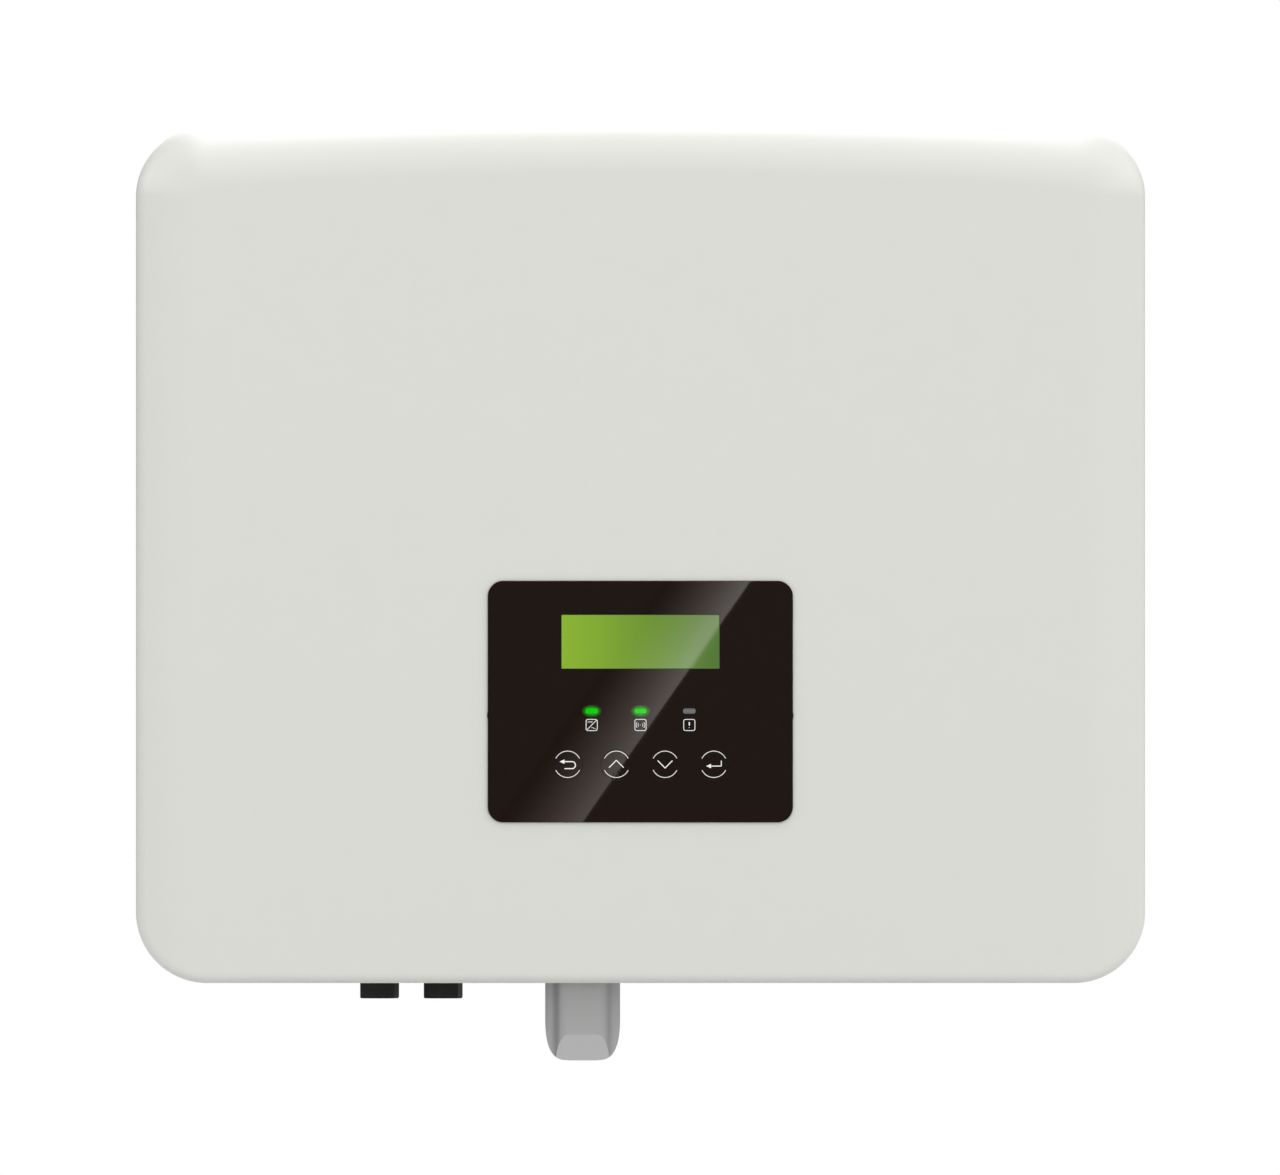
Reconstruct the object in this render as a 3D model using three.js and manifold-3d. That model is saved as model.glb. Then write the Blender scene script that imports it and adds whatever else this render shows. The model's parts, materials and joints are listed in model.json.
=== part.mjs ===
// A wall-hung string inverter in millimetres: X to the right, the front towards -Y, Z up.
// Heights are counted from the bottom edge of the front cover. The finished group is then
// lowered, so that the origin lies on the wall face of the hanger.

import * as THREE from 'three';
import { mergeVertices } from 'three/addons/utils/BufferGeometryUtils.js';
import Module from 'manifold-3d';

const wasm = await Module();
wasm.setup();

// Clearances shared by all pieces
const seat = 0.3; // gap between two pieces that rest on each other
const runningGap = 0.3; // gap round a piece that moves in its hole
const overrun = 5; // how far a cutting solid runs past what it cuts

// Facet counts
const cornerSteps = 6;
const crownSteps = 10;
const edgeSteps = 6;
const innerEdgeSteps = 3;
const roundSides = 12;
const keySides = 20;
const dialSides = 20;
const coilSides = 14;
const smallSides = 8;

// Front cover
const coverWidth = 482;
const coverHeight = 417;
const crownRise = 10; // rise of the arched top edge over half the width
const coverDepth = 60.5; // from the rim at the back to the flat front face
const coverWall = 2.5;
const topCornerRadius = 34;
const bottomCornerRadius = 34;
const shoulderHeight = 30; // band below the top edge where the face rolls back
const shoulderDepth = 38;
const sideBand = 28; // soft band along the left and right edges
const sideDrop = 4; // how far the face falls back over that band
const edgeRadius = 4.5; // of the rounding along the sides and the bottom
const cornerShare = 0.97; // most of a corner radius that the rolled edge may take

// Hanger at the back
const hangerSteel = 3;
const hookGap = 5.7; // room for the lip of the wall rail
const hangerWidth = 260;
const lipHeight = 30;
const hangerDrop = 54; // how far the hanger's web runs below its top edge
const hangerBend = 1.5;
const hangerRise = 300; // height of the lip's middle above the cover's bottom edge

// Lower spacer
const spacerWidth = 120;
const spacerRise = 84; // height of its middle above the cover's bottom edge
const spacerHeight = 36;
const spacerFoot = 14;

// Heatsink
const finDepth = 32;
const finCount = 33;
const finPitch = 12.2;
const finRoot = 2.8;
const finTip = 1.8;
const basePlate = 5.7;
const sinkMargin = 8; // how far the heatsink stays inside the housing's outline

// Rear housing
const housingInset = 16; // how far its sides and top stay inside the cover
const housingDepth = 71;
const housingWall = 3;
const housingCorner = 20;
const housingEdge = 4;
const terminalRise = 45; // height of the terminal wall above the cover's bottom edge
const flangeGap = 2.5; // between the flange and the cover's wall
const flangeThickness = 4;
const rimOverlap = 2; // how far the cover's rim reaches over the flange
const pillarRadius = 4;
const pillarHeight = 10;

// Seal and screws between cover and housing
const gasketWidth = 4.5;
const gasketThickness = 2.4;
const ribWidth = 4;
const screwRadius = 2;
const screwHeadRadius = 3.8;
const screwHeadHeight = 2.8;
const screwLength = 18;
const bossRadius = 5.8;
const bossLength = 20;
const screwXShare = 0.5; // place of the top and bottom screws, of the cover's half width
const screwZShare = 0.5; // place of the side screws, of the housing's height

// Display panel
const lensWidth = 145.6;
const lensHeight = 115.4;
const lensThickness = 2.6;
const lensCorner = 7.3;
const lensBase = 76.8; // height of the panel's lower edge
const lensLap = 4.2; // width of the border that lies on the cover
const pocketDepth = 2.5; // of the pocket in the cover that the panel lies in
const pocketGap = 0.4; // between the panel and the pocket's side
const nibHeight = 3;
const nibReach = 0.6;
const nibRise = 51;
const sealThickness = 0.8;
const sealWidth = 3;
const windowWidth = 75.9;
const windowHeight = 26.2;
const windowDrop = 16.1; // from the panel's top edge to the window's
const lampWidth = 6.2;
const lampHeight = 2.7;
const lampRise = 53.1; // above the panel's lower edge
const lampPitch = 23.3;
const keyRadius = 7.1;
const keyRise = 27.5;
const keyPitch = 23.25;
const keyTravel = 0.5;
const keyCollar = 1.1;
const keyCollarThickness = 1.2;
const keyStemRadius = 2;
const switchSize = 6;
const switchHeight = 4.3;
const moduleWidth = 97;
const moduleHeight = 40;
const moduleDepth = 9;
const boardThickness = 1.6;
const boardCorner = 2;
const smallCorner = 0.3; // of plugs, switches and the display window
const displayBoardOverhang = 5; // how far the board reaches past the cover's opening
const displayBoardMargin = 6; // how far it stays inside the panel's height
const displayBossRadius = 2;

// Ribbon cable and its two connectors
const ribbonWidth = 18;
const ribbonThickness = 0.9;
const ribbonXShare = 0.8; // place along the display board's half width
const ribbonPlugHeight = 6;
const ribbonPlugDepth = 5;
const ribbonStartShare = 0.6; // height on the display board
const ribbonEndRise = 12; // above the control board's lower edge
const ribbonMargin = 2; // from the control board's left edge
const ribbonSteps = 14;

// Terminal wall, from left to right: the gap before each piece, of all the free room
const terminalGapShares = {
  knob: 0.0362,
  solar: 0.208,
  battery: 0.0793,
  dongle: 0.0764,
  firstGland: 0.18,
  secondGland: 0.0924,
  valve: 0.1128,
  grid: 0.0747,
  backup: 0.0754,
};
const rowPitch = 30; // between the front and the back row
const solarPitch = 30.5;

// Solar connectors and their hexagonal caps
const solarNeckRadius = 6.5;
const solarNeckLength = 12;
const solarFlangeRadius = 10;
const solarFlangeHeight = 4;
const solarBodyRadius = 8.2;
const solarBodyEnd = 20;
const solarNoseRadius = 5;
const capHexagon = 16.8; // across its flats
const capHexHeight = 8;
const capChamfer = 0.9;
const capSkirtRadius = 7.6;
const capFloor = 2;
const capTurn = 0.31; // the caps sit a little turned

// Battery connectors and caps
const batteryNeckRadius = 8;
const batteryFlangeRadius = 12.5;
const batteryBodyRadius = 10.5;
const batteryBodyEnd = 21;
const batteryNoseRadius = 7.5;
const batteryCapRadius = 10.8;
const batteryCapEnd = 5;
const batteryCapWall = 2;

// Grid and backup connectors
const mainsNeckRadius = 15;
const mainsFlange = 43;
const mainsFlangeHeight = 4;
const mainsFlangeCorner = 6;
const mainsBodyRadius = 16.5;
const mainsBodyEnd = 24;
const mainsNoseRadius = 13.5;
const mainsCapRadius = 18;
const mainsCapEnd = 6;
const mainsCapWall = 2.2;
const mainsCapFlutes = 12;
const mainsCapFluteRadius = 2;

// Cable glands, vent valve and earth screw
const neckLength = 10;
const flangeHeight = 3;
const glandNeckRadius = 8;
const glandHexagon = 24;
const glandHexHeight = 7;
const glandBodyRadius = 10.5;
const glandNut = 22;
const glandNutHeight = 13;
const glandDomeRadius = 7.5;
const glandEnd = 12;
const valveNeckRadius = 5;
const valveHexagon = 17;
const valveHexHeight = 4;
const valveCapRadius = 7.5;
const valveCapHeight = 4;
const earthShankRadius = 2.5;
const earthWasherRadius = 6;
const earthWasherHeight = 1.2;
const earthHexagon = 8;
const earthHexHeight = 3.5;

// Isolator switch
const knobPadRadius = 24;
const knobPadHeight = 2;
const knobDialRadius = 19;
const knobDialHeight = 6;
const knobGripWidth = 11;
const knobGripHeight = 20;
const knobGripCorner = 4;
const knobShaftRadius = 4;
const knobShaftLength = 16;
const isolatorWidth = 46;
const isolatorHeight = 38;
const isolatorCorner = 3;

// Monitoring dongle
const dongleWidth = 35.9;
const dongleDepth = 30;
const dongleGap = 3.5; // between it and the cover's rim
const dongleHang = 37.7; // how far it hangs below the cover's bottom edge
const dongleTop = 22;
const dongleCornerWidth = 9;
const dongleCornerHeight = 18.6;
const plateauFlat = 15.6;
const plateauWidth = 21;
const plateauRound = 1.6;
const flankWidth = 24.6;
const wingDrop = 6;
const wingRound = 6;
const dongleBackRadius = 5;
const facetHeight = 12.4;
const facetDepth = 7.6;
const collarRadius = 12;
const portFlangeRadius = 14;
const portFlangeHeight = 6;
const portNeckRadius = 10;
const portNeckLength = 14;
const portFloor = 2;
const dongleSealThickness = 1.5;
const dongleSealBore = 8.5;
const plugWidth = 12;
const plugHeight = 4.5;
const plugLength = 16;

// Boards and power parts inside
const innerBoardMargin = 20; // from the housing's side walls
const innerBoardTop = 16; // below the housing's top corners
const innerBoardGap = 18; // between the power board and the control board
const coilGap = 22; // between the coils and the boards above them
const pillarMargin = 8;
const canRadius = 15;
const canHeight = 45;
const canPitch = 34;
const canRows = 2;
const canColumns = 4;
const canHolder = 5;
const canMargin = 7; // from the power board's left edge
const canZShare = 0.12;
const powerModuleWidth = 110;
const powerModuleHeight = 60;
const inductorRadius = 30;
const inductorTube = 11;
const inductorXShares = [-0.72, -0.36];
const inductorRise = 88; // above the terminal wall
const chokeWidth = 84;
const chokeHeight = 70;
const chokeDepth = 48;
const chokeWindow = 16;
const chokeCoil = 9;
const chokeXShare = 0.12;
const chokeRise = 78;

// Derived depths, from the wall at zero towards the front
const quarter = Math.PI / 2;
const lipFront = -hangerSteel;
const webBack = lipFront - hookGap;
const webFront = webBack - hangerSteel;
const finTips = webFront - seat;
const baseBack = finTips - finDepth;
const baseFront = baseBack - basePlate;
const housingBack = baseFront - seat;
const housingFloor = housingBack - housingWall;
const flangeBack = housingBack - housingDepth;
const flangeFront = flangeBack - flangeThickness;
const gasketFront = flangeFront - seat - gasketThickness;
const ribBack = gasketFront - seat;
const coverRim = flangeBack + rimOverlap;
const coverFace = coverRim - coverDepth;
const pocketFloor = coverFace + pocketDepth;
const sealFront = pocketFloor - seat - sealThickness;
const lensBack = sealFront - seat;
const lensFront = lensBack - lensThickness;

// Derived places on the cover and the terminal wall
const coverHalf = coverWidth / 2;
const crownRadius = (coverHalf ** 2 + crownRise ** 2) / (2 * crownRise);
const housingHalf = coverHalf - housingInset;
const housingCrown = coverHeight - housingInset;
const flangeReach = housingInset - coverWall - flangeGap;
const lensMiddle = lensBase + lensHeight / 2;
const rowFront = coverRim + dongleGap + dongleDepth / 2;
const rowBack = rowFront + rowPitch;
const rowMiddle = (rowFront + rowBack) / 2;
const wallUnderside = terminalRise - seat;
const moduleBack = lensBack + seat + moduleDepth;
const boardFront = moduleBack + seat;
const openingWidth = lensWidth - 2 * lensLap;
const openingHeight = lensHeight - 2 * lensLap;

// Materials, one for each finish
const finish = (color, roughness, metalness) => (
  new THREE.MeshStandardMaterial({ color, roughness, metalness, flatShading: true })
);
const coverPaint = finish(0xdbdcd5, 0.55, 0);
const castPaint = finish(0xb9bbb9, 0.6, 0.4);
const bareAluminium = finish(0xb4b6b8, 0.45, 0.9);
const zincSteel = finish(0xa9abad, 0.4, 0.9);
const screwSteel = finish(0x8f9193, 0.35, 0.95);
const sealRubber = finish(0x202122, 0.85, 0);
const lensBlack = finish(0x221a16, 0.12, 0);
const displayGreen = finish(0x8ab535, 0.3, 0);
const lampGreen = finish(0x08d107, 0.35, 0);
const lampGrey = finish(0x707271, 0.5, 0);
const blackPlastic = finish(0x252525, 0.5, 0);
const greyPlastic = finish(0x94979b, 0.5, 0);
const boardGreen = finish(0x1f5a35, 0.6, 0);
const capacitorBlue = finish(0x27324a, 0.4, 0.2);
const copperWinding = finish(0xa8602c, 0.4, 0.8);
const coreGrey = finish(0x4c4e50, 0.7, 0.3);

// Closed meshes to solids and back

function toSolid(geometry) {
  const bare = geometry.clone();
  bare.deleteAttribute('normal');
  bare.deleteAttribute('uv');
  const merged = mergeVertices(bare);
  const index = Array.from(merged.index.array);
  const triangles = [];
  for (let i = 0; i < index.length; i += 3) {
    const [a, b, c] = index.slice(i, i + 3);
    if (a !== b && b !== c && c !== a) triangles.push(a, b, c);
  }
  const mesh = new wasm.Mesh({
    numProp: 3,
    vertProperties: new Float32Array(merged.attributes.position.array),
    triVerts: new Uint32Array(triangles),
  });
  return new wasm.Manifold(mesh);
}

function toGeometry(solid) {
  const { vertProperties, triVerts } = solid.getMesh();
  const geometry = new THREE.BufferGeometry();
  geometry.setAttribute('position', new THREE.BufferAttribute(vertProperties, 3));
  geometry.setIndex(new THREE.BufferAttribute(triVerts, 1));
  geometry.computeVertexNormals();
  return geometry;
}

function join(...geometries) {
  return toGeometry(geometries.map(toSolid).reduce((sum, next) => sum.add(next)));
}

function cut(base, ...tools) {
  return toGeometry(tools.map(toSolid).reduce((rest, tool) => rest.subtract(tool), toSolid(base)));
}

function common(base, other) {
  return toGeometry(toSolid(base).intersect(toSolid(other)));
}

// Outlines as lists of points

function arc(x, y, radius, start, end, steps, stretch = 1) {
  return Array.from({ length: steps + 1 }, (_, step) => {
    const angle = start + ((end - start) * step) / steps;
    return new THREE.Vector2(
      x + radius * Math.cos(angle),
      y + radius * stretch * Math.sin(angle),
    );
  });
}

function round(radius, sides = roundSides, x = 0, y = 0, turn = 0) {
  return arc(x, y, radius, turn, turn + 4 * quarter, sides).slice(0, sides);
}

function hexagon(across, turn = 0) {
  return round(across / Math.sqrt(3), 6, 0, 0, turn);
}

function roundedRectangle(width, height, radius, x = 0, y = 0, steps = 4) {
  const signs = [[1, -1], [1, 1], [-1, 1], [-1, -1]];
  return signs.flatMap(([right, up], corner) => arc(
    x + right * (width / 2 - radius),
    y + up * (height / 2 - radius),
    radius,
    quarter * (corner - 1),
    quarter * corner,
    steps,
  ));
}

// Closed solids from an outline: through depths, up through heights, or along X

function extrude(points, depth) {
  return new THREE.ExtrudeGeometry(new THREE.Shape(points), { depth, bevelEnabled: false });
}

function slab(points, front, back) {
  return extrude(points, back - front).rotateX(quarter).translate(0, back, 0);
}

function column(points, low, high) {
  return extrude(points, high - low).translate(0, 0, low);
}

function bar(points, width) {
  const toX = new THREE.Matrix4().makeBasis(
    new THREE.Vector3(0, 1, 0),
    new THREE.Vector3(0, 0, 1),
    new THREE.Vector3(1, 0, 0),
  );
  return extrude(points, width).translate(0, 0, -width / 2).applyMatrix4(toX);
}

// Turned solids: a profile of radius and place, from its lowest place up

function turnedAlongY(profile, sides) {
  return new THREE.LatheGeometry(profile.map(([radius, y]) => new THREE.Vector2(radius, y)), sides);
}

function turned(profile, sides = roundSides) {
  return turnedAlongY(profile, sides).rotateX(quarter);
}

// A closed solid through rings of equal length, from the back to the front

function loft(rings) {
  const size = rings[0].length;
  const indices = [];
  for (let ring = 0; ring + 1 < rings.length; ring += 1) {
    for (let place = 0; place < size; place += 1) {
      const next = (place + 1) % size;
      const a = ring * size + place;
      const b = ring * size + next;
      indices.push(a, b, b + size, a, b + size, a + size);
    }
  }
  const cap = THREE.ShapeUtils.triangulateShape(
    rings.at(-1).map(({ x, z }) => new THREE.Vector2(x, z)),
    [],
  );
  const last = (rings.length - 1) * size;
  for (const [a, b, c] of cap) indices.push(last + a, last + b, last + c, a, c, b);
  const geometry = new THREE.BufferGeometry().setFromPoints(rings.flat());
  geometry.setIndex(indices);
  return geometry;
}

// The arched outline of the cover and the housing, each point with its outward normal

function archedOutline(half, bottom, crown, bend, topRadius, bottomRadius) {
  const topX = half - topRadius;
  const bendMiddle = crown - bend;
  const topZ = bendMiddle + Math.sqrt((bend - topRadius) ** 2 - topX ** 2);
  const lean = Math.asin(topX / (bend - topRadius));
  const bottomX = half - bottomRadius;
  const bottomZ = bottom + bottomRadius;
  const arcs = [
    [bottomX, bottomZ, bottomRadius, -quarter, 0, cornerSteps, 0],
    [topX, topZ, topRadius, 0, quarter - lean, cornerSteps, 0],
    [0, bendMiddle, bend, quarter - lean, quarter + lean, crownSteps, 1],
    [-topX, topZ, topRadius, quarter + lean, 2 * quarter, cornerSteps, 1],
    [-bottomX, bottomZ, bottomRadius, 2 * quarter, 3 * quarter, cornerSteps, 0],
  ];
  return arcs.flatMap(([x, z, radius, start, end, steps, first]) => (
    arc(x, z, radius, start, end, steps).slice(first).map((point) => ({
      x: point.x,
      z: point.y,
      nx: (point.x - x) / radius,
      nz: (point.y - z) / radius,
    }))
  ));
}

function coverOutline(inset) {
  return archedOutline(
    coverHalf - inset,
    inset,
    coverHeight - inset,
    crownRadius - inset,
    topCornerRadius - inset,
    bottomCornerRadius - inset,
  );
}

function housingOutline(reach) {
  return archedOutline(
    housingHalf + reach,
    terminalRise - reach,
    housingCrown + reach,
    crownRadius - housingInset + reach,
    topCornerRadius - housingInset + reach,
    housingCorner + reach,
  );
}

const flat = (outline) => outline.map(({ x, z }) => new THREE.Vector2(x, z));
const ringAt = (outline, y) => outline.map(({ x, z }) => new THREE.Vector3(x, y, z));

function housingRing(outside, inside, front, back) {
  return cut(
    slab(flat(housingOutline(outside)), front, back),
    slab(flat(housingOutline(inside)), front - overrun, back + overrun),
  );
}

// Screw places: two on the top and bottom runs of the flange and one on each side

const gasketReach = gasketWidth - housingWall;
const screwReach = (flangeReach + gasketReach) / 2;

function screwPlaces() {
  const reach = screwReach;
  const x = coverHalf * screwXShare;
  const bend = crownRadius - housingInset + reach;
  const topZ = housingCrown + reach - bend + Math.sqrt(bend ** 2 - x ** 2);
  const sideZ = terminalRise + (housingCrown - terminalRise) * screwZShare;
  return [
    [-x, topZ],
    [x, topZ],
    [-housingHalf - reach, sideZ],
    [housingHalf + reach, sideZ],
    [-x, terminalRise - reach],
    [x, terminalRise - reach],
  ];
}

// Front cover: a shell with a small rounding along its sides and bottom, a face that falls
// back a little towards the sides, and a deep rolled shoulder along the arched top

function coverForm(inset, rear, steps = innerEdgeSteps) {
  const outline = coverOutline(inset);
  const face = coverFace + inset;
  const room = Math.min(topCornerRadius, bottomCornerRadius) - coverWall;
  const band = Math.min(shoulderHeight, room * cornerShare);
  const rounding = edgeRadius - inset;
  const rings = [ringAt(outline, rear)];
  for (let step = 0; step <= steps; step += 1) {
    const turn = (quarter * step) / steps;
    const inward = band * (1 - Math.cos(turn));
    const shoulder = shoulderDepth * (1 - Math.sin(turn));
    const toEdge = Math.max(0, 1 - inward / rounding);
    const edge = rounding * (1 - Math.sqrt(1 - toEdge ** 2));
    rings.push(outline.map(({ x, z, nx, nz }) => {
      const towardsTop = THREE.MathUtils.smoothstep(nz, 0, 1);
      const across = x - nx * inward;
      const toSide = Math.max(0, (Math.abs(across) - coverHalf + sideBand) / sideBand);
      const rolled = THREE.MathUtils.lerp(edge, shoulder, towardsTop);
      return new THREE.Vector3(across, face + rolled + sideDrop * toSide ** 2, z - nz * inward);
    }));
  }
  return loft(rings);
}

function displayBosses() {
  const x = openingWidth / 2 + displayBoardOverhang / 2;
  const z = openingHeight / 2 - displayBoardMargin - displayBossRadius;
  return [[-x, -z], [x, -z], [x, z], [-x, z]].map(([right, up]) => slab(
    round(displayBossRadius, smallSides, right, lensMiddle + up),
    pocketFloor + coverWall / 2,
    boardFront - seat,
  ));
}

// The panel's outline, grown by a gap, with a small nib at each side to lift it out by

function panelOutline(gap) {
  const corners = roundedRectangle(
    lensWidth + 2 * gap,
    lensHeight + 2 * gap,
    lensCorner + gap,
    0,
    lensMiddle,
    cornerSteps,
  );
  const nib = (side) => [-1, 0, 1].map((step) => new THREE.Vector2(
    side * (lensWidth / 2 + gap + (step === 0 ? nibReach : 0)),
    lensBase + nibRise + side * step * (nibHeight / 2 + gap),
  ));
  const perCorner = cornerSteps + 1;
  return [
    ...corners.slice(0, perCorner),
    ...nib(1),
    ...corners.slice(perCorner, 3 * perCorner),
    ...nib(-1),
    ...corners.slice(3 * perCorner),
  ];
}

function panelPocket() {
  const border = pocketGap + coverWall;
  const backing = slab(
    roundedRectangle(
      lensWidth + 2 * border,
      lensHeight + 2 * border,
      lensCorner + border,
      0,
      lensMiddle,
      innerEdgeSteps,
    ),
    coverFace + coverWall / 2,
    pocketFloor + coverWall,
  );
  const hollow = slab(panelOutline(pocketGap), coverFace - overrun, pocketFloor);
  return { backing, hollow };
}

function frontCover() {
  const shell = cut(coverForm(0, coverRim, edgeSteps), coverForm(coverWall, coverRim + overrun));
  const { backing, hollow } = panelPocket();
  const ribMiddle = gasketWidth / 2 - housingWall;
  const rib = housingRing(ribMiddle + ribWidth / 2, ribMiddle - ribWidth / 2, coverFace, ribBack);
  const stopRadius = screwReach - gasketReach - seat;
  const bosses = screwPlaces().flatMap(([x, z]) => [
    slab(round(bossRadius, smallSides, x, z), ribBack - bossLength, ribBack),
    slab(round(stopRadius, smallSides, x, z), ribBack - bossLength, flangeFront - seat),
  ]);
  const bores = screwPlaces().map(([x, z]) => (
    slab(round(screwRadius + seat, smallSides, x, z), flangeBack - screwLength - seat, flangeBack)
  ));
  const inner = common(join(rib, ...bosses), coverForm(coverWall / 2, coverRim));
  const opening = slab(
    roundedRectangle(openingWidth, openingHeight, lensCorner - lensLap, 0, lensMiddle),
    coverFace - overrun,
    pocketFloor + coverWall + overrun,
  );
  const body = cut(join(shell, inner, backing), hollow, opening);
  return cut(join(body, ...displayBosses()), ...bores);
}

function coverGasket() {
  return housingRing(gasketReach, -housingWall, gasketFront, flangeFront - seat);
}

function coverScrew() {
  return turnedAlongY([
    [0, -screwLength],
    [screwRadius, -screwLength],
    [screwRadius, seat],
    [screwHeadRadius, seat],
    [screwHeadRadius, seat + screwHeadHeight],
    [0, seat + screwHeadHeight],
  ], smallSides);
}

// Inner boards: place and size in the housing

const displayBoardWidth = openingWidth + 2 * displayBoardOverhang;
const ribbonX = (displayBoardWidth / 2) * ribbonXShare;
const controlBoardLeft = ribbonX - ribbonWidth / 2 - ribbonMargin;
const controlBoardRight = housingHalf - innerBoardMargin;
const controlBoardWidth = controlBoardRight - controlBoardLeft;
const controlBoardX = (controlBoardLeft + controlBoardRight) / 2;
const powerBoardLeft = innerBoardMargin - housingHalf;
const powerBoardRight = controlBoardLeft - innerBoardGap;
const powerBoardWidth = powerBoardRight - powerBoardLeft;
const powerBoardX = (powerBoardLeft + powerBoardRight) / 2;
const coilTop = Math.max(inductorRise + inductorRadius, chokeRise + chokeHeight / 2);
const innerBoardLow = terminalRise + coilTop + coilGap;
const innerBoardHigh = coverHeight - crownRise - housingInset - innerBoardTop;
const innerBoardHeight = innerBoardHigh - innerBoardLow;
const innerBoardZ = (innerBoardLow + innerBoardHigh) / 2;
const pillarTips = housingFloor - pillarHeight;
const innerBoardFront = pillarTips - seat - boardThickness;

function pillarPlaces() {
  const z = innerBoardHeight / 2 - pillarMargin;
  const boards = [[powerBoardX, powerBoardWidth], [controlBoardX, controlBoardWidth]];
  return boards.flatMap(([x, width]) => {
    const half = width / 2 - pillarMargin;
    return [[-half, -z], [half, -z], [half, z], [-half, z]].map(([right, up]) => (
      [x + right, innerBoardZ + up]
    ));
  });
}

// Places along the terminal wall, between its rounded corners

const terminalWidths = {
  knob: 2 * knobPadRadius,
  solar: solarPitch + 2 * solarFlangeRadius,
  battery: 2 * batteryFlangeRadius,
  dongle: dongleWidth,
  firstGland: (2 * glandHexagon) / Math.sqrt(3),
  secondGland: (2 * glandHexagon) / Math.sqrt(3),
  valve: (2 * valveHexagon) / Math.sqrt(3),
  grid: mainsFlange,
  backup: mainsFlange,
};
const terminalRoom = 2 * (housingHalf - housingCorner);
const freeRoom = terminalRoom - Object.values(terminalWidths).reduce((sum, width) => sum + width);
const terminalX = {};
let taken = housingCorner - housingHalf;
for (const [name, width] of Object.entries(terminalWidths)) {
  taken += freeRoom * terminalGapShares[name] + width;
  terminalX[name] = taken - width / 2;
}

// Holes in the terminal wall: place along X, place along Y and radius

const solarPlaces = [rowFront, rowBack].flatMap((y) => [-1, 1].map((side) => (
  [terminalX.solar + (side * solarPitch) / 2, y]
)));
const batteryPlaces = [rowFront, rowBack].map((y) => [terminalX.battery, y]);
const glandPlaces = [terminalX.firstGland, terminalX.secondGland].map((x) => [x, rowMiddle]);
const terminalHoles = [
  [terminalX.knob, rowMiddle, knobShaftRadius],
  [terminalX.dongle, rowFront, portNeckRadius],
  [terminalX.valve, rowFront, valveNeckRadius],
  [terminalX.valve, rowBack, earthShankRadius],
  [terminalX.grid, rowMiddle, mainsNeckRadius],
  [terminalX.backup, rowMiddle, mainsNeckRadius],
  ...solarPlaces.map(([x, y]) => [x, y, solarNeckRadius]),
  ...batteryPlaces.map(([x, y]) => [x, y, batteryNeckRadius]),
  ...glandPlaces.map(([x, y]) => [x, y, glandNeckRadius]),
];

function rearHousing() {
  const outline = housingOutline(0);
  const body = loft([
    ringAt(housingOutline(-housingEdge), housingBack),
    ringAt(outline, housingBack - housingEdge),
    ringAt(outline, flangeFront),
  ]);
  const flange = slab(flat(housingOutline(flangeReach)), flangeFront, flangeBack);
  const room = slab(flat(housingOutline(-housingWall)), flangeFront - overrun, housingFloor);
  const pillars = pillarPlaces().map(([x, z]) => (
    slab(round(pillarRadius, smallSides, x, z), pillarTips, housingFloor + housingWall / 2)
  ));
  const pad = column(
    round(knobPadRadius, roundSides, terminalX.knob, rowMiddle),
    terminalRise - knobPadHeight,
    terminalRise + housingWall / 2,
  );
  const screwHoles = screwPlaces().map(([x, z]) => slab(
    round(screwRadius + seat, smallSides, x, z),
    flangeFront - overrun,
    flangeBack + screwHeadHeight,
  ));
  const wallHoles = terminalHoles.map(([x, y, radius]) => (
    column(round(radius + runningGap, roundSides, x, y), 0, terminalRise + housingWall + overrun)
  ));
  return cut(join(cut(join(body, flange), room), pad, ...pillars), ...screwHoles, ...wallHoles);
}

// Heatsink: upright fins on a base plate, cut to the housing's outline

function heatsink() {
  const start = (-finPitch * (finCount - 1)) / 2;
  const edge = -start + finRoot / 2;
  const comb = [new THREE.Vector2(edge, baseFront), new THREE.Vector2(edge, baseBack)];
  for (let fin = finCount - 1; fin >= 0; fin -= 1) {
    const x = start + fin * finPitch;
    if (fin < finCount - 1) comb.push(new THREE.Vector2(x + finRoot / 2, baseBack));
    comb.push(new THREE.Vector2(x + finTip / 2, finTips));
    comb.push(new THREE.Vector2(x - finTip / 2, finTips));
    if (fin > 0) comb.push(new THREE.Vector2(x - finRoot / 2, baseBack));
  }
  comb.push(new THREE.Vector2(-edge, baseBack), new THREE.Vector2(-edge, baseFront));
  const fins = column(comb, 0, coverHeight);
  const outline = slab(flat(housingOutline(-sinkMargin)), baseFront - overrun, overrun);
  const screws = hangerScrewPlaces().map(([x, z]) => {
    const pad = slab(round(finPitch / 2, smallSides, x, z), baseBack - seat, finTips);
    const bore = slab(
      round(screwRadius + seat, smallSides, x, z),
      webBack - screwLength - seat,
      webBack,
    );
    return { pad, bore };
  });
  return cut(
    join(common(fins, outline), ...screws.map(({ pad }) => pad)),
    ...screws.map(({ bore }) => bore),
  );
}

// Hanger: a folded plate whose lip hooks over the wall rail

const hangerTop = hangerRise + lipHeight / 2;

function hangerScrewPlaces() {
  const x = finPitch * Math.floor(hangerWidth / finPitch / 3);
  const z = hangerTop - hangerDrop + screwHeadRadius + hangerSteel;
  return [[-x, z], [x, z]];
}

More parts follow.
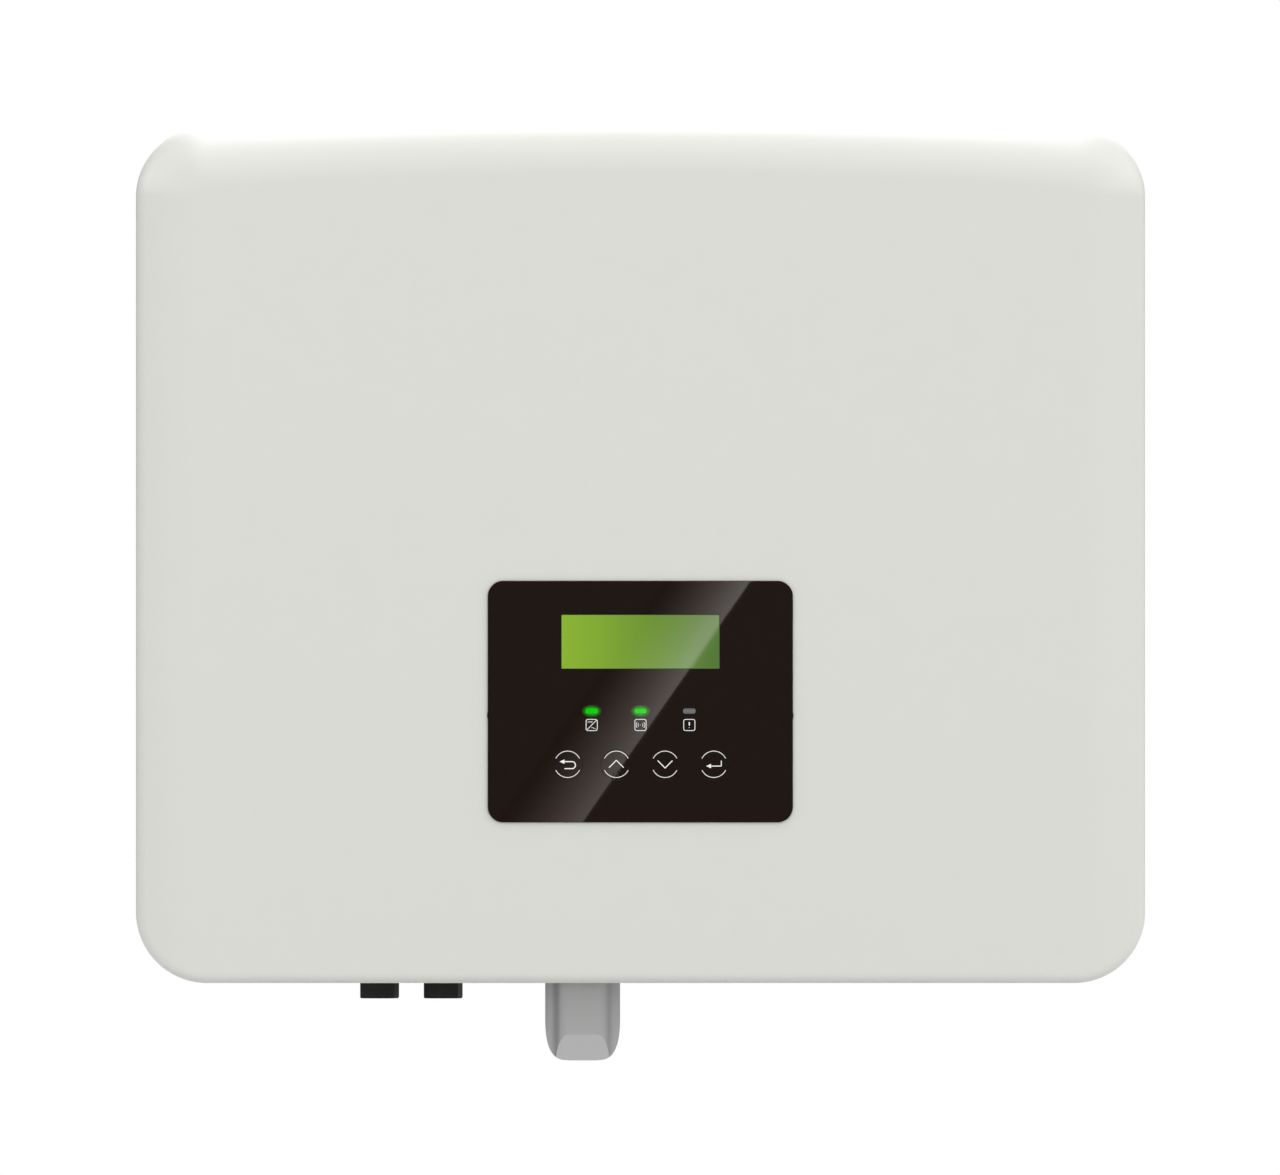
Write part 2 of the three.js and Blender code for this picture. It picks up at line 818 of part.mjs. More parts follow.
function hangerPlate() {
  const bottom = hangerTop - hangerDrop;
  const lipBottom = hangerTop - lipHeight;
  const plate = bar([
    new THREE.Vector2(webFront, bottom),
    new THREE.Vector2(webBack, bottom),
    new THREE.Vector2(webBack, hangerTop - hangerSteel),
    new THREE.Vector2(lipFront, hangerTop - hangerSteel),
    new THREE.Vector2(lipFront, lipBottom),
    new THREE.Vector2(0, lipBottom),
    new THREE.Vector2(0, hangerTop - hangerBend),
    new THREE.Vector2(-hangerBend, hangerTop),
    new THREE.Vector2(webFront + hangerBend, hangerTop),
    new THREE.Vector2(webFront, hangerTop - hangerBend),
  ], hangerWidth);
  const holes = hangerScrewPlaces().map(([x, z]) => slab(
    round(screwRadius + seat, smallSides, x, z),
    webFront - overrun,
    lipFront,
  ));
  return cut(plate, ...holes);
}

// Lower spacer: a hat-shaped bracket that keeps the fins off the wall

function lowerSpacer() {
  const outer = spacerHeight / 2;
  const inner = outer - hangerSteel;
  const half = [
    [webBack, outer + spacerFoot],
    [webBack, outer],
    [0, outer],
  ];
  const back = [
    [-hangerSteel, inner],
    [webFront, inner],
    [webFront, outer + spacerFoot],
  ];
  const upper = [...half, ...half.toReversed().map(([y, z]) => [y, -z])];
  const under = [...back.toReversed().map(([y, z]) => [y, -z]), ...back];
  return bar(
    [...upper, ...under].map(([y, z]) => new THREE.Vector2(y, spacerRise + z)),
    spacerWidth,
  );
}

// Display panel

const windowMiddle = lensBase + lensHeight - windowDrop - windowHeight / 2;
const keyXs = [-1.5, -0.5, 0.5, 1.5].map((step) => step * keyPitch);
const lampXs = [-1, 0, 1].map((step) => step * lampPitch);

function displayLens() {
  const through = (points) => slab(points, lensFront - overrun, lensBack + overrun);
  const window = roundedRectangle(windowWidth, windowHeight, smallCorner, 0, windowMiddle, 1);
  const lamps = lampXs.map((x) => through(roundedRectangle(
    lampWidth + 2 * seat,
    lampHeight + 2 * seat,
    lampHeight / 2 + seat,
    x,
    lensBase + lampRise,
  )));
  const keys = keyXs.map((x) => (
    through(round(keyRadius + runningGap, keySides, x, lensBase + keyRise))
  ));
  return cut(slab(panelOutline(0), lensFront, lensBack), through(window), ...lamps, ...keys);
}

function displaySeal() {
  const ring = (width, height, front, back) => slab(
    roundedRectangle(width, height, lensCorner - seat, 0, lensMiddle),
    front,
    back,
  );
  const outerWidth = lensWidth - 2 * seat;
  const outerHeight = lensHeight - 2 * seat;
  return cut(
    ring(outerWidth, outerHeight, sealFront, pocketFloor - seat),
    ring(
      outerWidth - 2 * sealWidth,
      outerHeight - 2 * sealWidth,
      sealFront - overrun,
      pocketFloor + overrun,
    ),
  );
}

function displayGlass() {
  return slab(
    roundedRectangle(windowWidth - 2 * seat, windowHeight - 2 * seat, smallCorner, 0, windowMiddle, 1),
    lensFront,
    lensBack,
  );
}

function displayModule() {
  return slab(
    roundedRectangle(moduleWidth, moduleHeight, lensThickness, 0, windowMiddle, 2),
    lensBack + seat,
    moduleBack,
  );
}

function lampGuide() {
  return slab(roundedRectangle(lampWidth, lampHeight, lampHeight / 2), 0, boardFront - seat - lensFront);
}

// A key: cap, retaining collar and stem, from the panel's face back

const stemEnd = boardFront - switchHeight - seat - keyTravel - lensFront;

function keyCap() {
  const collarFront = lensThickness + seat;
  const collarBack = collarFront + keyCollarThickness;
  return turnedAlongY([
    [0, 0],
    [keyRadius, 0],
    [keyRadius, collarFront],
    [keyRadius + keyCollar, collarFront],
    [keyRadius + keyCollar, collarBack],
    [keyStemRadius, collarBack],
    [keyStemRadius, stemEnd],
    [0, stemEnd],
  ], keySides);
}

// Boards with their connectors and switches

const ribbonStartZ = lensBase + lensHeight * ribbonStartShare;
const ribbonEndZ = innerBoardLow + ribbonEndRise;
const boardBack = boardFront + boardThickness;

function displayBoard() {
  const height = lensHeight - 2 * lensLap - displayBoardMargin;
  const plate = slab(
    roundedRectangle(displayBoardWidth, height, boardCorner, 0, lensMiddle, 1),
    boardFront,
    boardBack,
  );
  const switches = keyXs.map((x) => slab(
    roundedRectangle(switchSize, switchSize, smallCorner, x, lensBase + keyRise, 1),
    boardFront - switchHeight,
    boardFront + boardThickness / 2,
  ));
  const plug = slab(
    roundedRectangle(ribbonWidth, ribbonPlugHeight, smallCorner, ribbonX, ribbonStartZ, 1),
    boardFront + boardThickness / 2,
    boardBack + ribbonPlugDepth,
  );
  return join(plate, ...switches, plug);
}

function ribbonCable() {
  const start = boardBack + ribbonPlugDepth + seat;
  const end = innerBoardFront - ribbonPlugDepth - seat;
  const sides = [1, -1].map((side) => Array.from({ length: ribbonSteps + 1 }, (_, step) => {
    const along = step / ribbonSteps;
    const rise = ribbonEndZ - ribbonStartZ;
    const slope = (rise * 6 * along * (1 - along)) / (end - start);
    const length = Math.hypot(1, slope);
    const offset = (side * ribbonThickness) / 2;
    return new THREE.Vector2(
      start + (end - start) * along - (offset * slope) / length,
      ribbonStartZ + rise * THREE.MathUtils.smoothstep(along, 0, 1) + offset / length,
    );
  }));
  return bar([...sides[0], ...sides[1].toReversed()], ribbonWidth - 2 * seat);
}

function innerBoard(width, ...extras) {
  const plate = slab(
    roundedRectangle(width, innerBoardHeight, boardCorner, 0, 0, 1),
    innerBoardFront,
    innerBoardFront + boardThickness,
  );
  return join(plate, ...extras);
}

function controlBoard() {
  const plug = slab(
    roundedRectangle(
      ribbonWidth,
      ribbonPlugHeight,
      smallCorner,
      ribbonX - controlBoardX,
      ribbonEndZ - innerBoardZ,
      1,
    ),
    innerBoardFront - ribbonPlugDepth,
    innerBoardFront + boardThickness / 2,
  );
  return innerBoard(controlBoardWidth, plug);
}

function capacitorBank() {
  const holder = slab(
    roundedRectangle(canColumns * canPitch, canRows * canPitch, canHolder),
    -canHolder,
    0,
  );
  const cans = Array.from({ length: canRows * canColumns }, (_, can) => slab(
    round(
      canRadius,
      roundSides,
      ((can % canColumns) - (canColumns - 1) / 2) * canPitch,
      (Math.floor(can / canColumns) - (canRows - 1) / 2) * canPitch,
    ),
    -canHeight,
    -canHolder / 2,
  ));
  return join(holder, ...cans);
}

function powerModule() {
  return slab(
    roundedRectangle(powerModuleWidth, powerModuleHeight, canHolder),
    2 * seat - pillarHeight,
    0,
  );
}

function inductor() {
  const ring = Array.from({ length: smallSides + 1 }, (_, step) => {
    const angle = (4 * quarter * (step % smallSides)) / smallSides - quarter;
    return [
      inductorRadius - inductorTube + inductorTube * Math.cos(angle),
      inductorTube * (Math.sin(angle) - 1),
    ];
  });
  return turnedAlongY(ring, coilSides);
}

function gridChoke() {
  const core = cut(
    slab(roundedRectangle(chokeWidth, chokeHeight, chokeCoil / 3, 0, 0, 2), -chokeDepth, 0),
    ...[-1, 1].map((side) => slab(
      roundedRectangle(chokeWindow, chokeHeight / 2, chokeCoil / 3, (side * chokeWidth) / 4, 0, 2),
      -chokeDepth - overrun,
      overrun,
    )),
  );
  const coil = slab(
    roundedRectangle(chokeWidth / 3 + chokeCoil, chokeHeight / 3, chokeCoil / 3, 0, 0, 2),
    -chokeDepth - chokeCoil,
    -chokeDepth / 2,
  );
  return join(core, coil);
}

// Connectors under the terminal wall, each with its top at the wall's underside

function solarConnector() {
  const flangeEnd = wallUnderside - solarFlangeHeight;
  return turned([
    [0, capFloor + seat],
    [solarNoseRadius, capFloor + seat],
    [solarNoseRadius, solarBodyEnd],
    [solarBodyRadius, solarBodyEnd],
    [solarBodyRadius, flangeEnd],
    [solarFlangeRadius, flangeEnd],
    [solarFlangeRadius, wallUnderside],
    [solarNeckRadius, wallUnderside],
    [solarNeckRadius, terminalRise + solarNeckLength],
    [0, terminalRise + solarNeckLength],
  ]);
}

function solarCap() {
  const corner = capHexagon / Math.sqrt(3);
  const chamfered = turned([
    [0, -capHexHeight],
    [corner - capChamfer, -capHexHeight],
    [corner + seat, -capHexHeight + capChamfer / 2],
    [corner + seat, -capChamfer],
    [corner - capChamfer, 0],
    [0, 0],
  ], dialSides);
  const head = common(column(hexagon(capHexagon, capTurn), -capHexHeight, 0), chamfered);
  const skirt = column(round(capSkirtRadius), -capFloor, solarBodyEnd - seat);
  const bore = column(round(solarNoseRadius + seat), capFloor, solarBodyEnd + overrun);
  return cut(join(head, skirt), bore);
}

function batteryConnector() {
  const flangeEnd = wallUnderside - flangeHeight;
  const noseEnd = batteryCapEnd + batteryCapWall + seat;
  return turned([
    [0, noseEnd],
    [batteryNoseRadius, noseEnd],
    [batteryNoseRadius, batteryBodyEnd],
    [batteryBodyRadius, batteryBodyEnd],
    [batteryBodyRadius, flangeEnd],
    [batteryFlangeRadius, flangeEnd],
    [batteryFlangeRadius, wallUnderside],
    [batteryNeckRadius, wallUnderside],
    [batteryNeckRadius, terminalRise + neckLength],
    [0, terminalRise + neckLength],
  ]);
}

// A cup-shaped dust cap: closed below, open above, over a connector's nose

function dustCap(radius, wall, boreRadius, low, high) {
  return turned([
    [0, low],
    [radius - wall, low],
    [radius, low + wall],
    [radius, high],
    [boreRadius, high],
    [boreRadius, low + wall],
    [0, low + wall],
  ]);
}

function batteryCap() {
  return dustCap(
    batteryCapRadius,
    batteryCapWall,
    batteryNoseRadius + seat,
    batteryCapEnd,
    batteryBodyEnd - seat,
  );
}

function mainsConnector() {
  const flangeEnd = wallUnderside - mainsFlangeHeight;
  const noseEnd = mainsCapEnd + mainsCapWall + seat;
  const plate = column(
    roundedRectangle(mainsFlange, mainsFlange, mainsFlangeCorner),
    flangeEnd,
    wallUnderside,
  );
  const stem = turned([
    [0, noseEnd],
    [mainsNoseRadius, noseEnd],
    [mainsNoseRadius, mainsBodyEnd],
    [mainsBodyRadius, mainsBodyEnd],
    [mainsBodyRadius, wallUnderside - mainsFlangeHeight / 2],
    [mainsNeckRadius, wallUnderside - mainsFlangeHeight / 2],
    [mainsNeckRadius, terminalRise + neckLength],
    [0, terminalRise + neckLength],
  ]);
  return join(plate, stem);
}

function mainsCap() {
  const cup = dustCap(
    mainsCapRadius,
    mainsCapWall,
    mainsNoseRadius + seat,
    mainsCapEnd,
    mainsBodyEnd - seat,
  );
  const flutes = round(mainsCapRadius + mainsCapFluteRadius / 2, mainsCapFlutes).map(({ x, y }) => (
    column(round(mainsCapFluteRadius, 6, x, y), 0, terminalRise)
  ));
  return cut(cup, ...flutes);
}

function cableGland() {
  const hexEnd = wallUnderside - glandHexHeight;
  const nutEnd = hexEnd - flangeHeight - glandNutHeight;
  const body = turned([
    [0, glandEnd],
    [glandDomeRadius - flangeHeight, glandEnd],
    [glandDomeRadius, glandEnd + flangeHeight],
    [glandDomeRadius, nutEnd + flangeHeight],
    [glandBodyRadius, nutEnd + flangeHeight],
    [glandBodyRadius, hexEnd + flangeHeight],
    [glandNeckRadius, hexEnd + flangeHeight],
    [glandNeckRadius, terminalRise + neckLength],
    [0, terminalRise + neckLength],
  ]);
  return join(
    column(hexagon(glandHexagon), hexEnd, wallUnderside),
    column(hexagon(glandNut, quarter / 3), nutEnd, hexEnd - flangeHeight),
    body,
  );
}

function ventValve() {
  const hexEnd = wallUnderside - valveHexHeight;
  const body = turned([
    [0, hexEnd - valveCapHeight],
    [valveCapRadius, hexEnd - valveCapHeight],
    [valveCapRadius, hexEnd + valveHexHeight / 2],
    [valveNeckRadius, hexEnd + valveHexHeight / 2],
    [valveNeckRadius, terminalRise + neckLength],
    [0, terminalRise + neckLength],
  ]);
  return join(column(hexagon(valveHexagon), hexEnd, wallUnderside), body);
}

function earthScrew() {
  const washerEnd = wallUnderside - earthWasherHeight;
  const shank = turned([
    [0, washerEnd],
    [earthWasherRadius, washerEnd],
    [earthWasherRadius, wallUnderside],
    [earthShankRadius, wallUnderside],
    [earthShankRadius, terminalRise + neckLength],
    [0, terminalRise + neckLength],
  ]);
  const head = column(
    hexagon(earthHexagon),
    washerEnd - earthHexHeight,
    washerEnd + earthWasherHeight / 2,
  );
  return join(shank, head);
}

// Isolator switch: the knob turns in the pad, the wall and the switch body

const knobTop = terminalRise - knobPadHeight - seat;
const shaftTop = terminalRise + housingWall + seat + knobShaftLength;

function isolatorKnob() {
  const dial = turned([
    [0, knobTop - knobDialHeight],
    [knobDialRadius - knobPadHeight, knobTop - knobDialHeight],
    [knobDialRadius, knobTop - knobDialHeight + knobPadHeight],
    [knobDialRadius, knobTop],
    [knobShaftRadius, knobTop],
    [knobShaftRadius, shaftTop],
    [0, shaftTop],
  ], dialSides);
  const gripLength = 2 * (knobDialRadius - knobPadHeight);
  const grip = column(
    roundedRectangle(knobGripWidth, gripLength, knobGripCorner),
    knobTop - knobDialHeight - knobGripHeight,
    knobTop - knobDialHeight / 2,
  );
  return join(dial, grip);
}

function isolatorBody() {
  const low = terminalRise + housingWall + seat;
  return cut(
    column(
      roundedRectangle(isolatorWidth, isolatorWidth, isolatorCorner, 0, 0, 2),
      low,
      low + isolatorHeight,
    ),
    column(round(knobShaftRadius + runningGap), low - overrun, shaftTop + seat),
  );
}

// Monitoring dongle: a case with a raised front between two wings and a slanted facet below

const collarTop = wallUnderside - portFlangeHeight - dongleSealThickness - 2 * seat;

function dongleShell() {
  const half = dongleWidth / 2;
  const front = -dongleDepth / 2;
  const plan = [
    ...arc(plateauFlat / 2, front + plateauRound, plateauRound, -quarter, -quarter / 3, 3),
    new THREE.Vector2(plateauWidth / 2, front + plateauRound),
    new THREE.Vector2(flankWidth / 2, front + wingDrop),
    ...arc(half - wingRound, front + wingDrop + wingRound, wingRound, -quarter / 2, 0, 3),
    ...arc(half - dongleBackRadius, -front - dongleBackRadius, dongleBackRadius, 0, quarter, 4),
  ];
  const mirrored = plan.toReversed().map(({ x, y }) => new THREE.Vector2(-x, y));
  const stretch = dongleCornerHeight / dongleCornerWidth;
  const low = -dongleHang + dongleCornerHeight;
  const cornerX = half - dongleCornerWidth;
  const silhouette = [
    ...arc(cornerX, low, dongleCornerWidth, -quarter, 0, 8, stretch),
    new THREE.Vector2(half, dongleTop),
    new THREE.Vector2(-half, dongleTop),
    ...arc(-cornerX, low, dongleCornerWidth, 2 * quarter, 3 * quarter, 8, stretch),
  ];
  const body = common(
    column([...plan, ...mirrored], -dongleHang - overrun, dongleTop),
    slab(silhouette, front - overrun, -front + overrun),
  );
  const facet = bar([
    new THREE.Vector2(front - facetDepth, -dongleHang + 2 * facetHeight),
    new THREE.Vector2(front - facetDepth, -dongleHang - facetHeight),
    new THREE.Vector2(front + 2 * facetDepth, -dongleHang - facetHeight),
  ], dongleWidth + 2 * overrun);
  return join(cut(body, facet), column(round(collarRadius), dongleTop - seat, collarTop));
}

function dongleSeal() {
  return turned([
    [dongleSealBore, collarTop + seat],
    [collarRadius, collarTop + seat],
    [collarRadius, collarTop + seat + dongleSealThickness],
    [dongleSealBore, collarTop + seat + dongleSealThickness],
    [dongleSealBore, collarTop + seat],
  ]);
}

function dongleSocket() {
  const flangeEnd = wallUnderside - portFlangeHeight;
  const port = turned([
    [0, flangeEnd],
    [portFlangeRadius, flangeEnd],
    [portFlangeRadius, wallUnderside],
    [portNeckRadius, wallUnderside],
    [portNeckRadius, terminalRise + portNeckLength],
    [0, terminalRise + portNeckLength],
  ]);
  const bore = column(
    roundedRectangle(plugWidth + 2 * seat, plugHeight + 2 * seat, smallCorner, 0, 0, 1),
    flangeEnd - overrun,
    terminalRise + portNeckLength - portFloor,
  );
  return cut(port, bore);
}

function donglePlug() {
  return column(
    roundedRectangle(plugWidth, plugHeight, smallCorner, 0, 0, 1),
    collarTop + seat,
    collarTop + seat + plugLength,
  );
}

// The assembly

const inverter = new THREE.Group();
inverter.name = 'string_inverter';
inverter.position.z = -hangerRise;

function add(name, geometry, material, x = 0, y = 0, z = 0) {
  const mesh = new THREE.Mesh(geometry, material);
  mesh.name = name;
  mesh.position.set(x, y, z);
  inverter.add(mesh);
}

add('front_cover', frontCover(), coverPaint);
add('rear_housing', rearHousing(), castPaint);
add('cover_gasket', coverGasket(), sealRubber);
add('heatsink', heatsink(), bareAluminium);
add('hanger_plate', hangerPlate(), zincSteel);
add('lower_spacer', lowerSpacer(), zincSteel);
screwPlaces().forEach(([x, z], index) => {
  add(`cover_screw_${index + 1}`, coverScrew(), screwSteel, x, flangeBack, z);
});
hangerScrewPlaces().forEach(([x, z], index) => {
  add(`hanger_screw_${index + 1}`, coverScrew(), screwSteel, x, webBack, z);
});

add('display_lens', displayLens(), lensBlack);
add('display_seal', displaySeal(), sealRubber);
add('display_glass', displayGlass(), displayGreen);
add('display_module', displayModule(), blackPlastic);
add('display_board', displayBoard(), boardGreen);
lampXs.forEach((x, index) => {
  const lit = index < 2 ? lampGreen : lampGrey;
  add(`lamp_guide_${index + 1}`, lampGuide(), lit, x, lensFront, lensBase + lampRise);
});
['return_key', 'up_key', 'down_key', 'enter_key'].forEach((name, index) => {
  add(name, keyCap(), lensBlack, keyXs[index], lensFront, lensBase + keyRise);
});
add('ribbon_cable', ribbonCable(), greyPlastic, ribbonX);

add('isolator_knob', isolatorKnob(), blackPlastic, terminalX.knob, rowMiddle);
add('isolator_switch', isolatorBody(), blackPlastic, terminalX.knob, rowMiddle);
solarPlaces.forEach(([x, y], index) => {
  add(`solar_connector_${index + 1}`, solarConnector(), blackPlastic, x, y);
  add(`solar_cap_${index + 1}`, solarCap(), blackPlastic, x, y);
});
batteryPlaces.forEach(([x, y], index) => {
  add(`battery_connector_${index + 1}`, batteryConnector(), blackPlastic, x, y);
  add(`battery_cap_${index + 1}`, batteryCap(), blackPlastic, x, y);
});
['grid', 'backup'].forEach((name) => {
  add(`${name}_connector`, mainsConnector(), blackPlastic, terminalX[name], rowMiddle);
  add(`${name}_cap`, mainsCap(), blackPlastic, terminalX[name], rowMiddle);
});
glandPlaces.forEach(([x, y], index) => {
  add(`cable_gland_${index + 1}`, cableGland(), blackPlastic, x, y);
});
add('vent_valve', ventValve(), blackPlastic, terminalX.valve, rowFront);
add('earth_screw', earthScrew(), screwSteel, terminalX.valve, rowBack);

add('dongle_shell', dongleShell(), greyPlastic, terminalX.dongle, rowFront);
add('dongle_seal', dongleSeal(), sealRubber, terminalX.dongle, rowFront);
add('dongle_plug', donglePlug(), zincSteel, terminalX.dongle, rowFront);
add('dongle_socket', dongleSocket(), blackPlastic, terminalX.dongle, rowFront);

add('power_board', innerBoard(powerBoardWidth), boardGreen, powerBoardX, 0, innerBoardZ);
add('control_board', controlBoard(), boardGreen, controlBoardX, 0, innerBoardZ);
add(
  'capacitor_bank',
  capacitorBank(),
  capacitorBlue,
  powerBoardLeft + canMargin + (canColumns * canPitch) / 2,
  innerBoardFront - seat,
  innerBoardZ + innerBoardHeight * canZShare,
);
add('power_module', powerModule(), blackPlastic, powerBoardX, housingFloor - seat, innerBoardZ);
inductorXShares.forEach((share, index) => {
  add(
    `boost_inductor_${index + 1}`,
    inductor(),
    copperWinding,
    housingHalf * share,
    housingFloor - seat,
    terminalRise + inductorRise,
  );
});
add(
  'grid_choke',
  gridChoke(),
  coreGrey,
  housingHalf * chokeXShare,
  housingFloor - seat,
  terminalRise + chokeRise,
);

export default inverter;
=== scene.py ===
# %% [markdown]
# # A wall-hung string inverter
#
# The object is a solar inverter: an off-white painted cover with a deep rolled shoulder, a
# glossy black operating panel, and a grey dongle and two black caps below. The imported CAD
# model gives every size and place. This lesson dresses it with finer surfaces and finishes.

import json
import math

import bmesh
import bpy
import numpy as np
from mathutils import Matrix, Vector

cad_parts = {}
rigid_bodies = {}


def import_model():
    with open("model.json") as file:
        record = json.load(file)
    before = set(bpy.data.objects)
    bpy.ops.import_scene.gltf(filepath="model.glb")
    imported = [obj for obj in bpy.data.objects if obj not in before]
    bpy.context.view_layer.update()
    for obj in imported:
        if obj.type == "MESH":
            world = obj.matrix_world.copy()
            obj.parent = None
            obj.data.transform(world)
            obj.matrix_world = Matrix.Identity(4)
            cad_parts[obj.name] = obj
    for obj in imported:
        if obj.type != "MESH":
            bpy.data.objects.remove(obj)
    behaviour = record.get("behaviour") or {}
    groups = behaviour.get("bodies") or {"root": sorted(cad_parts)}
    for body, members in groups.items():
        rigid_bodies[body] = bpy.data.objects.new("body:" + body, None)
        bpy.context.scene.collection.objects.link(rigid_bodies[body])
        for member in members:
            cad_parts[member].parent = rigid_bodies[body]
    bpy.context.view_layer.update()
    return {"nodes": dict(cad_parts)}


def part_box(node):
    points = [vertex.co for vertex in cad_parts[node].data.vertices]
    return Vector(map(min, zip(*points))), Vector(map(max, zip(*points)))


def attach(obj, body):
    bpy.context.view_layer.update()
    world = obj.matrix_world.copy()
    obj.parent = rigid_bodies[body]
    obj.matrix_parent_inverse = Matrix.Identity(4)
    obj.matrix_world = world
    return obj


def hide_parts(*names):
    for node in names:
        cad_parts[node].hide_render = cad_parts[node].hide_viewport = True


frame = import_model()

# %% [markdown]
# Lengths are written in millimetres and turned into metres only when a mesh is made. Places
# come from the boxes of the CAD nodes, so each new piece sits where its solid sits.

# %% Units and places
MM = 0.001


def place(node):
    """The lowest corner, the highest corner and the middle of a CAD node, in millimetres."""
    low, high = (np.array(corner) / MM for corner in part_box(node))
    return low, high, (low + high) / 2


COVER_LOW, COVER_HIGH, _ = place("front_cover")
LENS_LOW, LENS_HIGH, LENS_MIDDLE = place("display_lens")
BASE = COVER_LOW[2]
print("cover", (COVER_HIGH - COVER_LOW).round(2), "panel", (LENS_HIGH - LENS_LOW).round(2))

# %% [markdown]
# ## Camera, light and background
#
# The photograph is a straight-on product view with hardly any perspective, so the camera
# stands far away behind a very long lens. A short lens would show the undersides.

# %% Camera
SENSOR_WIDTH = 36
FRAME_WIDTH = 611.5
FRAME_MIDDLE = (-0.24, -111.1)
CAMERA_DISTANCE = 20.0
SUBJECT_DEPTH = 0.167


def shown(name, data):
    """A new object that shows this data in the scene."""
    made = bpy.data.objects.new(name, data)
    bpy.context.scene.collection.objects.link(made)
    return made


camera_data = bpy.data.cameras.new("camera")
camera_data.sensor_width = SENSOR_WIDTH
camera_data.lens = SENSOR_WIDTH * (CAMERA_DISTANCE - SUBJECT_DEPTH) / (FRAME_WIDTH * MM)
camera_data.clip_end = 100
camera = shown("camera", camera_data)
camera.location = (FRAME_MIDDLE[0] * MM, -CAMERA_DISTANCE, FRAME_MIDDLE[1] * MM)
camera.rotation_euler = (math.pi / 2, 0, 0)
bpy.context.scene.camera = camera
bpy.context.scene.view_settings.view_transform = "Standard"
print("lens", round(camera_data.lens), "mm at", CAMERA_DISTANCE, "m")

# %% [markdown]
# Shader maths reads best as plain formulas. A small class wraps one socket of a node, and
# its operators add the Math nodes, so that `1 - mask * 0.3` works. Every other node comes
# from one method that takes the node's type, its settings and its inputs.

# %% Formulas from sockets
class Value:
    """A number or vector that a shader works out, which Python can calculate with."""

    def __init__(self, tree, socket):
        self.tree, self.socket = tree, socket

    def of(self, output):
        """Another output of the same node."""
        return Value(self.tree, self.socket.node.outputs[output])

    def math(self, operation, *others):
        return self.tree.math(operation, self, *others)

    def __add__(self, other):
        return self.math("ADD", other)

    def __sub__(self, other):
        return self.math("SUBTRACT", other)

    def __rsub__(self, other):
        return self.tree.math("SUBTRACT", other, self)

    def __mul__(self, other):
        return self.math("MULTIPLY", other)

    def __truediv__(self, other):
        return self.math("DIVIDE", other)

    def __pow__(self, other):
        return self.math("POWER", other)

    __radd__ = __add__
    __rmul__ = __mul__

    def between(self, low, high):
        """Zero below low, one above high and a smooth step between them."""
        settings = {"interpolation_type": "SMOOTHSTEP"}
        return self.tree.add("ShaderNodeMapRange", settings, {0: self, 1: low, 2: high})


class Tree:
    """The nodes of one material or of the world."""

    def __init__(self, owner):
        owner.use_nodes = True
        self.nodes, self.links = owner.node_tree.nodes, owner.node_tree.links
        self.nodes.clear()

    def add(self, kind, settings=None, values=None, output=0):
        """Adds a node, sets it up, feeds its inputs and gives back one of its outputs."""
        node = self.nodes.new(kind)
        for name, setting in (settings or {}).items():
            if name == "stops":
                ramp = node.color_ramp.elements
                while len(ramp) < len(setting):
                    ramp.new(0.5)
                for element, (position, colour) in zip(ramp, setting):
                    element.position, element.color = position, (*colour, 1)
            else:
                setattr(node, name, setting)
        for name, value in (values or {}).items():
            self.feed(node.inputs[name], value)
        return Value(self, node.outputs[output]) if node.outputs else node

    def feed(self, socket, value):
        if isinstance(value, Value):
            self.links.new(value.socket, socket)
        elif isinstance(value, tuple) and len(value) == 3 and socket.type == "RGBA":
            socket.default_value = (*value, 1)
        else:
            socket.default_value = value

    def math(self, operation, *values):
        return self.add("ShaderNodeMath", {"operation": operation}, dict(enumerate(values)))

    def mix(self, factor, first, second):
        """A colour between two colours."""
        values = {0: factor, 6: first, 7: second}
        return self.add("ShaderNodeMix", {"data_type": "RGBA"}, values, output=2)

    def position(self):
        """The point in the object's own coordinates, in metres."""
        return self.add("ShaderNodeTexCoord").of("Object")

    def axes(self, vector=None):
        """The three numbers of a vector, or else of the point in the object's coordinates."""
        parts = self.add("ShaderNodeSeparateXYZ", {}, {0: vector or self.position()})
        return parts, parts.of(1), parts.of(2)

    def stretched(self, scale):
        """The point in the object's coordinates, multiplied by three numbers."""
        values = {0: self.position(), 1: scale}
        return self.add("ShaderNodeVectorMath", {"operation": "MULTIPLY"}, values)

    def noise(self, vector, scale, detail):
        """Soft random grain from zero to one, scale is in waves a metre."""
        values = {"Vector": vector, "Scale": scale, "Detail": detail}
        return self.add("ShaderNodeTexNoise", {}, values)


def shade(red, green, blue):
    """A colour as it is read off a screen, from 0 to 255, turned into a linear one."""
    screen = np.array((red, green, blue)) / 255
    linear = np.where(screen <= 0.04045, screen / 12.92, ((screen + 0.055) / 1.055) ** 2.4)
    return tuple(float(part) for part in linear)


WHITE, BLACK = (1.0, 1.0, 1.0), (0.0, 0.0, 0.0)
print("middle grey 128 is", round(shade(128, 128, 128)[0], 3), "in linear light")

# %% [markdown]
# The studio is a bright white room. The camera and glass see plain white, while matt
# surfaces get light that is a little stronger from above, from the front and from the right.
# That slight slope is what models the soft edges of the cover. Gloss sees the room darker on
# its left and far to its right, and it sees a bright ceiling over the back, but only near the
# middle. The black panel looks straight into the dark spot behind the camera.

# %% World
AMBIENT, FROM_FRONT, FROM_RIGHT, FROM_TOP = 0.86, 0.287, 0.27, 0.31
GLOSS_DIMMEST, LEFT_WALL, RIGHT_DIMMING, CEILING_GAIN = 0.04, 0.1, 0.9, 1.2

